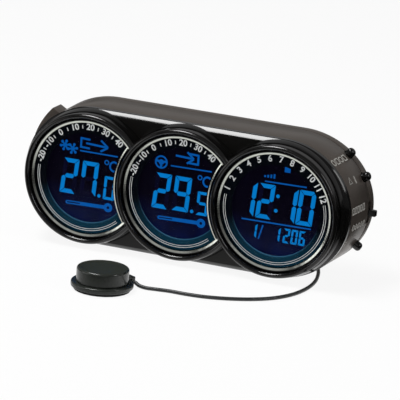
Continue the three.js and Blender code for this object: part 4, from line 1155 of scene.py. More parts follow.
@dataclass
class SensorLead:
    """One lead from the clock's grommet through a coil to the sensor, along the CAD route."""

    radius: float = 0.8
    floor_gap: float = 0.05
    grommet_length: float = 9.0
    coil_y: float = 58.9
    coil_outer: float = 17.5
    coil_pitch: float = 2.1
    coil_turns: float = 12.5
    coil_layers: int = 4
    coil_steps: int = 24
    coil_lift: float = 0.7
    seat: float = 0.3

    def coil_point(self, turn: float) -> Vector:
        """Gives the coil's centreline at a number of turns from its outer start.

        Args:
            turn: the number of turns.

        Returns:
            The place in millimetres.
        """
        per_layer = self.coil_turns / self.coil_layers
        inner = self.coil_outer - self.coil_pitch * per_layer
        layer = min(self.coil_layers - 1, int(turn / per_layer))
        share = turn / per_layer - layer
        span = self.coil_outer - inner
        radius = self.coil_outer - span * share if layer % 2 == 0 else inner + span * share
        z = self.radius + self.coil_lift
        for k in range(1, self.coil_layers):
            rise = min(1.0, max(0.0, (turn - k * per_layer) * 2 + 0.5))
            z += self.coil_pitch * rise * rise * (3 - 2 * rise)
        angle = 2 * math.pi * turn
        middle = LEAD_X + self.coil_outer
        return Vector((middle + radius * math.cos(angle), self.coil_y + radius * math.sin(angle), z))

    def curve_points(self, points: list[Point], steps: int) -> list[Vector]:
        """Runs a centripetal curve through points and returns even steps along each span.

        Args:
            points: the points to run through.
            steps: the steps in each span.

        Returns:
            The points along the curve, both ends among them.
        """
        knots = [Vector(p) for p in points]
        first = knots[0] * 2 - knots[1]
        last = knots[-1] * 2 - knots[-2]
        padded = [first, *knots, last]
        found: list[Vector] = []
        for i in range(len(knots) - 1):
            p0, p1, p2, p3 = padded[i:i + 4]
            t01, t12, t23 = ((b - a).length ** 0.5 for a, b in ((p0, p1), (p1, p2), (p2, p3)))
            m1 = ((p1 - p0) / t01 - (p2 - p0) / (t01 + t12) + (p2 - p1) / t12) * t12
            m2 = ((p2 - p1) / t12 - (p3 - p1) / (t12 + t23) + (p3 - p2) / t23) * t12
            for k in range(steps):
                t = k / steps
                found.append(p1 * (2 * t ** 3 - 3 * t ** 2 + 1) + m1 * (t ** 3 - 2 * t ** 2 + t)
                             + p2 * (3 * t ** 2 - 2 * t ** 3) + m2 * (t ** 3 - t ** 2))
        found.append(knots[-1])
        return found

    def route(self) -> list[Vector]:
        """Gives the whole centreline in millimetres, from the grommet to the sensor's clamp.

        Returns:
            The points of the centreline.
        """
        start = self.coil_point(0.0)
        end = self.coil_point(self.coil_turns)
        exit_y = CASE_BACK_Y - CASE_MID_Y + self.grommet_length + self.seat
        steps = 6
        two = 2 * self.radius
        level = self.radius + self.floor_gap
        to_coil = self.curve_points([
            (LEAD_X, exit_y, LEAD_HEIGHT), (LEAD_X, exit_y + two, LEAD_HEIGHT),
            (LEAD_X, exit_y + 9.0, LEAD_HEIGHT - 0.6),
            (end.x, end.y - self.seat - 12.0, end.z - 0.1),
            (end.x, end.y - self.seat - two, end.z), (end.x, end.y, end.z)], steps)
        count = round(self.coil_turns * self.coil_steps)
        coil = [self.coil_point(self.coil_turns * i / count) for i in range(count, -1, -1)]
        along = Vector((math.sin(LUG_ANGLE), -math.cos(LUG_ANGLE), 0))
        leave = lug_place(0) + along * (LUG_LENGTH / 2 + self.seat)
        straight = leave + along * two
        to_sensor = self.curve_points([
            (start.x, start.y, start.z), (start.x, start.y - self.seat - two, start.z),
            (45.4, 45.0, level + 0.2), (46.8, 34.0, level), (49.4, 24.0, level), (52.9, 14.5, level),
            (56.6, 4.5, level), (59.3, -7.0, level), (59.7, -18.4, level), (57.6, -29.3, level),
            (53.0, -38.2, level), (46.8, -44.4, level), (38.3, -49.6, level), (29.0, -53.0, level),
            (21.0, -54.1, level), (14.0, -54.2, level), (8.5, -55.1, level), (4.0, -55.7, level),
            (1.0, -55.3, 1.15), (straight.x, straight.y, 1.85), (leave.x, leave.y, 1.9)], steps)
        return to_coil[:-1] + coil + to_sensor[1:]

    def build(self) -> None:
        """Builds the lead as one curve."""
        points = [p * MM for p in self.route()]
        data = bpy.data.curves.new("outdoor_sensor_lead", "CURVE")
        data.dimensions = "3D"
        data.bevel_depth = self.radius * MM
        data.bevel_resolution = 4
        data.use_fill_caps = True
        spline = data.splines.new("POLY")
        spline.points.add(len(points) - 1)
        for spot, point in zip(spline.points, points):
            spot.co = (*point, 1.0)
        lead = put("outdoor_sensor_lead", data)
        data.materials.append(finish_of(Finish.LEAD))
        place_on(lead, BODY, "lead_jacket", "clock_lead", "sensor_lead_coil", "sensor_lead")


@dataclass
class LeadFittings:
    """The tie round the coil and the strain relief in the back wall."""

    tie_thickness: float = 0.4
    tie_width: float = 3.2
    tie_corner: float = 1.6

    def tie(self, lead: SensorLead) -> None:
        """Builds the tie: a rounded band about the bundle nearest the clock.

        Args:
            lead: the lead that it holds.
        """
        per_layer = lead.coil_turns / lead.coil_layers
        inner = lead.coil_outer - lead.coil_pitch * per_layer
        spare = lead.radius + lead.seat
        x = LEAD_X + lead.coil_outer
        low_y = lead.coil_y - lead.coil_outer - spare - self.tie_thickness
        high_y = lead.coil_y - inner + spare + self.tie_thickness
        high_z = 2 * self.tie_thickness + 2 * spare + lead.coil_pitch * (lead.coil_layers - 1)
        shells = []
        for name, less, half in (("coil_tie_strap", 0.0, self.tie_width / 2),
                                 ("tie_inside", self.tie_thickness, self.tie_width)):
            shell = box(name, Vector((x, (low_y + high_y) / 2, high_z / 2)) * MM,
                        (2 * half, high_y - low_y - 2 * less, high_z - 2 * less))
            ease_along(shell, 0, half * MM, self.tie_corner - less, 6)
            shells.append(shell)
        tie = cut(shells[0], shells[1])
        present(tie, Finish.RUBBER, BODY, "rubber", "coil_tie")

    def relief(self) -> None:
        """Builds the strain relief: a flange and a ribbed taper round the lead."""
        rings = [(3.4, 0.3, 1.3, 0.35), (2.4, 1.3, 3.4, 0.3), (2.05, 3.8, 5.4, 0.3), (1.7, 5.8, 7.2, 0.3),
                 (1.35, 7.6, 9.0, 0.25), (1.15, 1.0, 8.8, 0.0), (2.1, -3.5, 1.0, 0.0)]
        parts = []
        for i, (radius, start, end, corner) in enumerate(rings):
            front, back = CASE_BACK_Y + start, CASE_BACK_Y + end
            part = cylinder(f"relief_{i}", LEAD_X, LEAD_HEIGHT - CENTRE_Z, radius, front, back, 40)
            if corner:
                for rim in (front, back):
                    soften(part, 1, stand(0, rim, 0).y, corner, 3)
            parts.append(part)
        relief = merge(parts[0], *parts[1:])
        relief.name = "lead_strain_relief"
        present(relief, Finish.RUBBER, BODY, "rubber", "lead_grommet")

    def build(self, lead: SensorLead) -> None:
        """Builds both fittings."""
        self.tie(lead)
        self.relief()


@dataclass
class OutdoorSensor:
    """The sensor: a dished cap on a flanged base with a clamp for the lead, on an adhesive pad."""

    flange_radius: float = 12.8
    flange_height: float = 3.2
    cap_radius: float = 10.7
    cap_height: float = 9.1
    cap_edge: float = 0.9
    cap_wall: float = 1.3
    cap_roof: float = 1.7
    dish_steps: tuple[tuple[float, float], ...] = ((1.0, 0.45), (1.2, 0.1))
    base_edge: float = 0.55
    spigot_rise: float = 1.8
    lug_width: float = 3.4
    lug_rise: float = 0.4
    dish_radius: float = 8.5
    pad: float = 1.1

    def cap(self) -> Piece:
        """Turns the cap: rounded rim, shallow dish on top, open below.

        Returns:
            The cap.
        """
        low, top = self.flange_height + GAP, self.cap_height
        cap = upright("outdoor_sensor_cap", self.cap_radius, low, top)
        soften(cap, 2, top * MM, self.cap_edge, 6)
        middle = Vector((SENSOR_X, SENSOR_Y, top)) * MM
        pick(cap, lambda centre: abs(centre.z - top * MM) < NEAR, faces=True)
        for step, sink in self.dish_steps:
            bpy.ops.mesh.inset(thickness=step * MM)
            bpy.ops.transform.translate(value=(0, 0, -sink * MM))
        release()
        edge = (top - 0.01) * MM
        ease(cap, 0.25, 3, lambda spot: spot.z > edge and (spot - middle).length > self.dish_radius * MM)
        cut(cap, upright("cap_hollow", self.cap_radius - self.cap_wall, low - 1, top - self.cap_roof))
        smooth(dress(cap, Finish.SENSOR))
        cap.data.materials.append(finish_of(Finish.DISH))
        for face in cap.data.polygons:
            if face.normal.z > 0.9 and face.center.z < edge and face.center.z > (top - 1) * MM:
                face.material_index = 1
        return cap

    def base(self) -> Piece:
        """Turns the flanged base and adds its clamp.

        Returns:
            The base.
        """
        low, high = self.pad, self.flange_height
        base = upright("outdoor_sensor_base", self.flange_radius, low, high)
        for rim in (low, high):
            soften(base, 2, rim * MM, self.base_edge, 4)
        spigot = upright("spigot", self.cap_radius - self.cap_wall - GAP, high - 0.3,
                         high + self.spigot_rise)
        place = lug_place((low + high + self.lug_rise) / 2) * MM
        lug = box("lug", place, (self.lug_width, LUG_LENGTH, high + self.lug_rise - low), (0, 0, LUG_ANGLE))
        ease(lug, 0.35, 3)
        merge(base, spigot, lug)
        return smooth(dress(base, Finish.SENSOR))

    def build(self) -> None:
        """Builds cap and base and dresses the pad and the bead."""
        place_on(self.cap(), BODY, "sensor_shell", "sensor_cap")
        place_on(self.base(), BODY, "sensor_shell", "sensor_base")
        dress(frame["nodes"]["sensor_pad"], Finish.FOAM)
        dress(frame["nodes"]["sensor_bead"], Finish.SWITCH)


# The front: bezel, rings, trims and lenses


@dataclass
class Bezel:
    """The bezel plate with three raised rings, each lying over the one to its left."""

    front: float = 3.8
    shoulder: float = 1.9
    ring_inner: float = 25.8
    crest_half: float = 1.1
    crest_front: float = -2.5
    crest_base: float = -1.0
    flank: float = 28.3
    foot: float = 29.1
    ledge: float = 2.0
    sink: float = 0.2
    overlap: float = 0.9
    window: float = 20.0
    pocket_half_x: float = 21.25
    pocket_half_z: float = 19.8
    pocket_corner: float = 7.5
    guide_half_x: float = SPACING + 21
    guide_half_z: float = 12.2
    guide_front: float = 5.9

    def plate(self) -> Piece:
        """Builds the plate with its rounded shoulder.

        Returns:
            The plate.
        """
        plate = stadium("front_bezel_shell", 0, self.front, BEZEL_BACK_Y, FRONT_REACH, FRONT_REACH)
        soften(plate, 1, stand(0, self.front, 0).y, self.shoulder, 7, 0.3)
        return plate

    def pedestal(self, x: float) -> Piece:
        """Builds the step that carries a ring: a disc that narrows towards the front.

        Args:
            x: its display's place.

        Returns:
            The step.
        """
        base = self.front + self.sink
        step = cylinder("pedestal", x, 0, self.foot, base, BEZEL_BACK_Y, 160)
        edge = stand(0, base, 0).y
        pick(step, lambda centre: abs(centre.y - edge) < TINY, faces=True)
        rise = (base - self.ledge) * MM
        bpy.ops.mesh.extrude_region_move(TRANSFORM_OT_translate={"value": (0, -rise, 0)})
        share = self.flank / self.foot
        bpy.ops.transform.resize(value=(share, 1, share), center_override=stand(x, self.ledge, 0))
        release()
        return step

    def ring(self, name: str) -> Piece:
        """Spins one ring with its rounded crest and clips it where the next ring lies over it.

        Args:
            name: left, middle or right.

        Returns:
            The ring.
        """
        x = GAUGE_X[name]
        outer = self.ring_inner + 2 * self.crest_half
        ring = spun("ring", x, self.ring_inner, outer, self.crest_front, self.ledge + 0.5,
                    self.crest_half - 0.002, 9)
        rim = stand(0, self.crest_front, 0).y
        stretch = (self.crest_base - self.crest_front) / self.crest_half
        turn_end = rim + (self.crest_half + 0.01) * MM
        pick(ring, lambda spot: spot.y < turn_end)
        bpy.ops.transform.resize(value=(1, stretch, 1), center_override=(0, rim, 0))
        release()
        if name in NEXT_GAUGE:
            cut(ring, cylinder("clear", GAUGE_X[NEXT_GAUGE[name]], 0, self.flank - self.overlap,
                               self.crest_front - 1, self.ledge + 1, 150))
        return ring

    def opening(self, name: str) -> Piece:
        """Builds the tool that opens one display window and its panel's pocket.

        Args:
            name: left, middle or right.

        Returns:
            The tool.
        """
        x = GAUGE_X[name]
        window = cylinder("window", x, 0, self.window, self.ledge - 0.5, self.ledge + 1.3, 128)
        if name in NEXT_GAUGE:
            cut(window, cylinder("next_step", GAUGE_X[NEXT_GAUGE[name]], 0, self.foot + 0.2,
                                 self.ledge - 1, self.ledge + 2, 150))
        return window

    def build(self) -> None:
        """Builds the bezel and lets it stand for its CAD node."""
        bezel = self.plate()
        for x in GAUGE_X.values():
            merge(bezel, self.pedestal(x))
        for name in GAUGE_X:
            merge(bezel, self.ring(name))
        for name in GAUGE_X:
            cut(bezel, self.opening(name))
        for x in GAUGE_X.values():
            pocket = block("pocket", (x - self.pocket_half_x, self.ledge + 0.8, -self.pocket_half_z),
                           (x + self.pocket_half_x, BEZEL_BACK_Y + 1, self.pocket_half_z))
            ease_along(pocket, 1, MM, self.pocket_corner, 1)
            cut(bezel, pocket)
        cut(bezel, block("guide_pocket", (-self.guide_half_x, self.guide_front, -self.guide_half_z),
                         (self.guide_half_x, BEZEL_BACK_Y + 1, self.guide_half_z)))
        smooth(dress(bezel, Finish.GLOSS_BEZEL), 28)
        bezel.data.materials.append(finish_of(Finish.BEZEL_SATIN))
        flat = stand(0, self.front, 0).y
        for face in bezel.data.polygons:
            if abs(face.center.y - flat) < NEAR and abs(face.normal.y) > 0.99:
                face.material_index = 1
        place_on(bezel, BODY, "gloss_bezel", "front_bezel")


@dataclass
class DisplayTrim:
    """The polished trims round the lenses, the lenses and the printed films."""

    outer: float = 25.5
    width: float = 1.5
    bite: float = 28.6
    bite_width: float = 1.0
    crest: float = -0.9
    back: float = 1.7
    corner: float = 0.62
    lip: tuple[float, float] = (0.8, 0.42)
    bite_corner: float = 0.4
    bite_lip: tuple[float, float] = (-0.56, 0.29)
    lip_tilts: tuple[float, float] = (2.0, 38.0)

    def trim(self, name: str) -> Piece:
        """Builds one trim; a shorter band follows the bite that the next ring takes.

        Args:
            name: left, middle or right.

        Returns:
            The trim.
        """
        x = GAUGE_X[name]
        trim = spun(f"{name}_trim_band", x, self.outer - self.width, self.outer, self.crest, self.back,
                    self.corner, 7, lip=self.lip)
        if name in NEXT_GAUGE:
            beside = GAUGE_X[NEXT_GAUGE[name]]
            cut(trim, cylinder("bite", beside, 0, self.bite, self.crest - 1, self.back + 1, 170))
            band = spun("bite_band", beside, self.bite, self.bite + self.bite_width, self.crest + 0.25,
                        self.back - 0.02, self.bite_corner, 6, steps=170, lip=self.bite_lip)
            combine(band, cylinder("own", x, 0, self.outer - 0.03, self.crest - 1, self.back + 1, 150),
                    "INTERSECT")
            merge(trim, band)
        smooth(dress(trim, Finish.TRIM), 20)
        trim.data.materials.append(finish_of(Finish.TRIM_LIP))
        for face in trim.data.polygons:
            face.material_index = 1 if self.on_lip(face, name) else 0
        return trim

    def on_lip(self, face: bpy.types.MeshPolygon, name: str) -> bool:
        """Tells whether a trim's face lies on its stamped lip, the part that tilts a little to the dial.

        Args:
            face: the face.
            name: left, middle or right.

        Returns:
            True on the lip.
        """
        way = (face.center - stand(GAUGE_X[name], 0, 0)) * Vector((1, 0, 1))
        if name in NEXT_GAUGE:
            beside = (face.center - stand(GAUGE_X[NEXT_GAUGE[name]], 0, 0)) * Vector((1, 0, 1))
            if beside.length < (self.bite + self.bite_width + 0.05) * MM:
                way = -beside
        tilt = math.degrees(math.atan2(-face.normal.dot(way.normalized()), -face.normal.y))
        return self.lip_tilts[0] < tilt < self.lip_tilts[1]

    def build(self) -> None:
        """Builds the trims and dresses lens, film, cell and guide."""
        nodes = frame["nodes"]
        for name, x in GAUGE_X.items():
            place_on(self.trim(name), BODY, "gloss_trim", f"{name}_trim_ring")
            dress(nodes[f"{name}_lens"], Finish.LENS)
            # The dial film's emission is painted light: the backlight's reflection low down and a highlight
            # on the window's cut edge.
            dress(nodes[f"{name}_dial_mask"], DialFilm(f"polyester_film_black_print_{name}", x))
            dress(nodes[f"{name}_lcd_panel"], LiquidCrystal(f"liquid_crystal_cell_negative_{name}", x))
        dress(nodes["light_guide"], Finish.GUIDE)


# The printed scales


@dataclass
class PrintedScale:
    """White screen print on a lens: a scale of numbers over the top and two fine arcs below."""

    display: str
    labels: tuple[str, ...]
    first_angle: float
    last_angle: float
    arc_from: float
    arc_to: float
    ticks: int
    number_radius: float = 22.1
    number_size: float = 3.7
    number_weight: float = 0.09
    tick_length: float = 1.5
    tick_width: float = 0.4
    tick_pitch: float = 0.13
    arcs: tuple[tuple[float, float], ...] = ((22.48, 0.22), (21.68, 0.2))
    front: float = -0.035
    back: float = -0.006

    def place(self, turn: float) -> Vector:
        """Gives the place of a number or a tick at an angle in radians."""
        return stand(GAUGE_X[self.display] + self.number_radius * math.cos(turn),
                     (self.front + self.back) / 2, self.number_radius * math.sin(turn))

    def number(self, text: str, angle: float) -> Piece:
        """Sets one number upright along a radius and turns it into a mesh.

        Args:
            text: the number.
            angle: its place in degrees.

        Returns:
            The number's mesh.
        """
        turn = math.radians(angle)
        release()
        bpy.ops.object.text_add(location=self.place(turn), rotation=(math.pi / 2, math.pi / 2 - turn, 0))
        words = bpy.context.object
        words.data.body = text
        words.data.size = self.number_size * MM
        words.data.align_x = "CENTER"
        words.data.align_y = "CENTER"
        words.data.extrude = (self.back - self.front) / 2 * MM
        words.data.offset = self.number_weight * MM
        words.data.resolution_u = 4
        bpy.ops.object.convert(target="MESH")
        return named("number")

    def stroke(self, angle: float) -> Piece:
        """Adds one tick between two numbers.

        Args:
            angle: its place in degrees.

        Returns:
            The tick.
        """
        turn = math.radians(angle)
        return box("tick", self.place(turn), (self.tick_length, self.back - self.front, self.tick_width),
                   (0, -turn, 0))

    def build(self) -> None:
        """Builds the scale and the two arcs as one printed piece."""
        parts = []
        step = (self.last_angle - self.first_angle) / (len(self.labels) - 1)
        for i, text in enumerate(self.labels):
            parts.append(self.number(text, self.first_angle + i * step))
            if i == len(self.labels) - 1:
                break
            for k in range(self.ticks):
                share = 0.5 + (k - (self.ticks - 1) / 2) * self.tick_pitch
                parts.append(self.stroke(self.first_angle + (i + share) * step))
        for radius, line in self.arcs:
            sweep = (self.arc_to - self.arc_from) % 360
            parts.append(spun("arc", GAUGE_X[self.display], radius - line / 2, radius + line / 2,
                              self.front, self.back, 0.0, 0, self.arc_from, sweep, 72))
        scale = gather(f"{self.display}_printed_scale", parts)
        place_on(dress(scale, Finish.WHITE_INK), BODY, "mask_film")


# The liquid crystal read-outs

SEGMENTS = {
    "0": "abcdef", "1": "bc", "2": "abged", "3": "abgcd", "4": "fgbc", "5": "afgcd", "6": "afgedc",
    "7": "fabc", "8": "abcdefg", "9": "gfabcd",
}
RULE = 0.58


@dataclass
class Readout:
    """Segments and symbols on one liquid crystal cell, in millimetres about its display's centre."""

    display: str
    front: float = 2.98
    back: float = 3.03
    unlit_front: float = 3.05
    unlit_back: float = 3.09
    lift: float = 0.0
    lit: list[Piece] = field(default_factory=list)
    deep: list[Piece] = field(default_factory=list)
    ghost: list[Piece] = field(default_factory=list)

    def area(self, corners: list[Spot], lit: bool) -> Piece:
        """Adds a flat area by its corners about the display's centre.

        Args:
            corners: the corners in millimetres.
            lit: at the depth of what is lit, or behind it.

        Returns:
            The area.
        """
        places = [(GAUGE_X[self.display] + x, z + self.lift) for x, z in corners]
        front, back = (self.front, self.back) if lit else (self.unlit_front, self.unlit_back)
        return outline("area", places, front, back)

    def bar(self, a: Spot, b: Spot, thick: float, deeper: float = 0.0) -> Piece:
        """Adds a straight bar between two points; as a cutter it reaches deeper on both faces.

        Args:
            a: its first end.
            b: its other end.
            thick: its thickness.
            deeper: how much farther it reaches.

        Returns:
            The bar.
        """
        length = math.hypot(b[0] - a[0], b[1] - a[1])
        angle = math.atan2(b[1] - a[1], b[0] - a[0])
        middle = stand(GAUGE_X[self.display] + (a[0] + b[0]) / 2, (self.front + self.back) / 2,
                       (a[1] + b[1]) / 2 + self.lift)
        return box("bar", middle, (length, self.back - self.front + 2 * deeper, thick), (0, -angle, 0))

    def disc(self, x: float, z: float, radius: float, deeper: float = 0.0) -> Piece:
        """Adds a round dot; as a cutter it reaches deeper on both faces."""
        return cylinder("dot", GAUGE_X[self.display] + x, z + self.lift, radius,
                        self.front - deeper, self.back + deeper, 40)

    def ring(self, x: float, z: float, outer: float, inner: float) -> Piece:
        """Adds a flat ring."""
        return cut(self.disc(x, z, outer), self.disc(x, z, inner, 1.0))

    def digit(self, text: str, x: float, z: float, width: float, height: float, thick: float = 1.8, *,
              slant: float) -> None:
        """Builds one seven-segment digit of mitred bars.

        Args:
            text: the digit.
            x: the left side of its box at the top.
            z: the top of its box.
            width: the width of its box.
            height: the height of its box.
            thick: the bars' width.
            slant: how far the box leans to the right per unit of height.
        """
        gap = 0.07 * thick + 0.03
        half, end = height / 2, 0.45 * thick
        cap = [(gap, 0), (width - gap, 0), (width - thick - gap, thick), (thick + gap, thick)]
        post = [(0, gap), (thick, thick + gap), (thick, half - end), (0.65 * thick, half - gap),
                (0.35 * thick, half - gap), (0, half - end)]
        tip, shoulder = 0.8 * thick, 1.13 * thick
        middle = [(tip, half), (shoulder, half - thick / 2), (width - shoulder, half - thick / 2),
                  (width - tip, half), (width - shoulder, half + thick / 2), (shoulder, half + thick / 2)]
        bars = {"a": (cap, False, False), "b": (post, True, False), "c": (post, True, True),
                "d": (cap, False, True), "e": (post, False, True), "f": (post, False, False),
                "g": (middle, False, False)}
        for key, (shape, mirrored, turned) in bars.items():
            lit = key in SEGMENTS[text]
            if not lit and text == "1":
                continue
            corners = []
            for along, down in shape:
                across = width - along if mirrored else along
                depth = height - down if turned else down
                corners.append((x + across - slant * depth, z - depth))
            (self.lit if lit else self.ghost).append(self.area(corners, lit))

    def letter_c(self, x0: float, z0: float, x1: float, z1: float) -> None:
        """Builds the C of the degree sign from most of a ring, squeezed to an oval.

        Args:
            x0: its left end.
            z0: its lower end.
            x1: its right end.
            z1: its upper end.
        """
        radius = (x1 - x0) / 2
        piece = spun("letter", GAUGE_X[self.display] + (x0 + x1) / 2, radius - 0.75, radius,
                     self.front, self.back, 0.0, 0, 42, 276, 30)
        centre = stand(GAUGE_X[self.display] + (x0 + x1) / 2, 0, (z0 + z1) / 2 + self.lift)
        pick(piece)
        bpy.ops.transform.translate(value=(0, 0, ((z0 + z1) / 2 + self.lift) * MM))
        bpy.ops.transform.resize(value=(1, 1, (z0 - z1) / (x1 - x0)), center_override=centre)
        release()
        self.deep.append(piece)

    def thermometer(self) -> None:
        """Builds the thermometer: a round-ended stem, hollow at its cold end, and a ring for its bulb."""
        start, stop, bulb = (-9.5, -12.4), (8.0, -11.9), (9.3, -11.85)
        stem = merge(self.bar(start, stop, 1.55), self.disc(*start, 0.775), self.disc(*bulb, 1.95))
        cut(stem, self.bar((-9.6, -12.4), (-3.6, -12.2), 0.5, 1.0), self.disc(*bulb, 0.65, 1.0))
        self.deep.append(stem)

    def strokes(self, thick: float, *lines: Line) -> None:
        """Adds straight strokes of one width to the symbols."""
        self.deep.extend(self.bar(a, b, thick) for a, b in lines)

    def temperature(self, digits: str) -> None:
        """Builds what both temperatures share: three digits, point, degree sign and thermometer.

        Args:
            digits: the three digits.
        """
        self.digit(digits[0], -11.95, 6.65, 7.05, 15.2, slant=0.092)
        self.digit(digits[1], -3.25, 6.65, 7.4, 14.9, slant=0.07)
        self.lit.append(self.disc(4.85, -7.45, 0.75))
        self.digit(digits[2], 7.05, 1.6, 5.1, 10.1, 1.2, slant=0.045)
        self.deep.append(self.ring(7.5, 7.5, 1.1, 0.6))
        self.letter_c(8.7, 8.55, 13.1, 3.75)
        self.thermometer()

    def finish(self) -> None:
        """Joins the lit, deep and unlit areas and dresses them."""
        for label, parts, choice in (("lit", self.lit, Finish.LIT), ("symbols", self.deep, Finish.LIT_DEEP),
                                     ("unlit", self.ghost, Finish.GHOST)):
            piece = mend_normals(gather(f"{self.display}_lcd_{label}", parts))
            place_on(dress(piece, choice), BODY, "lcd_panel")


def left_readout() -> None:
    """Builds the outside temperature: two frost stars, a door with an arrow out, and 27.0."""
    face = Readout("left")
    arm = 1.9
    for x, z in ((-12.0, 12.0), (-8.4, 11.0)):
        for turn in (12, 72, 132):
            dx, dz = arm * math.cos(math.radians(turn)), arm * math.sin(math.radians(turn))
            face.strokes(0.75, ((x - dx, z - dz), (x + dx, z + dz)))
            face.deep.extend(face.disc(x + side * dx, z + side * dz, 0.6) for side in (-1, 1))
    door = [((-4.7, 16.6), (-4.7, 12.0)), ((-5.1, 16.2), (-0.6, 16.0)), ((-5.1, 12.4), (-0.6, 12.2))]
    arrow = [((-2.4, 14.3), (6.6, 13.9)), ((7.6, 13.8), (4.3, 16.5)), ((7.6, 13.8), (4.3, 11.7))]
    face.strokes(0.85, *door, *arrow)
    face.strokes(RULE, ((-5.0, 10.7), (12.3, 10.7)))
    face.temperature("270")
    face.finish()


def middle_readout() -> None:
    """Builds the inside temperature: a steering wheel, a door with an arrow in, and 29.5."""
    face = Readout("middle", lift=0.4)
    x, z, spoke = -10.18, 11.35, 2.4
    face.deep.extend((face.ring(x, z, 2.85, 2.15), face.disc(x, z, 1.15)))
    for turn in (12, 168, 270):
        a = math.radians(turn)
        face.strokes(0.95, ((x, z), (x + spoke * math.cos(a), z + spoke * math.sin(a))))
    door = [((6.2, 17.1), (6.2, 12.4)), ((2.2, 16.8), (6.6, 16.7)), ((2.2, 12.9), (6.6, 12.8))]
    arrow = [((-3.9, 15.2), (3.2, 14.9)), ((4.2, 14.8), (1.2, 17.4)), ((4.2, 14.8), (1.2, 12.5))]
    face.strokes(0.85, *door, *arrow)
    face.strokes(RULE, ((-5.8, 10.5), (12.5, 10.8)))
    face.temperature("295")
    face.finish()


def right_readout() -> None:
    """Builds the time and the date: 12:10 between two rules, signal bars and small digits."""
    face = Readout("right")
    for i in range(4):
        x = -6.2 + i * 1.35
        face.strokes(0.75, ((x, 12.9), (x, 13.7 + i * 0.35)))
    face.strokes(2.2, ((2.1, 17.45), (4.6, 17.45)))
    face.strokes(RULE, ((-6.1, 11.2), (12.2, 11.5)))
    for text, x, width in (("1", -15.9, 6.9), ("2", -8.1, 6.9), ("1", 2.1, 6.9), ("0", 9.55, 7.2)):
        face.digit(text, x, 10.15, width, 14.85, slant=0.08)
    for x, z in ((0.04, 5.75), (-0.41, -0.5)):
        face.lit.append(face.disc(x, z, 0.78))
    face.strokes(RULE, ((-15.1, -6.2), (15.4, -5.75)))
    for i, text in enumerate("11206"):
        x = (-10.6, -0.3, 3.9, 7.3, 10.7)[i]
        face.digit(text, x, -7.35 + i * 0.05, 2.8, 6.2, 0.85, slant=0.07)
    face.strokes(0.55, ((-7.1, -13.6), (-5.5, -7.5)))
    face.finish()


# The housing

KEY_ANGLES = {"mode": 46.0, "up": 25.2, "down": -29.5}


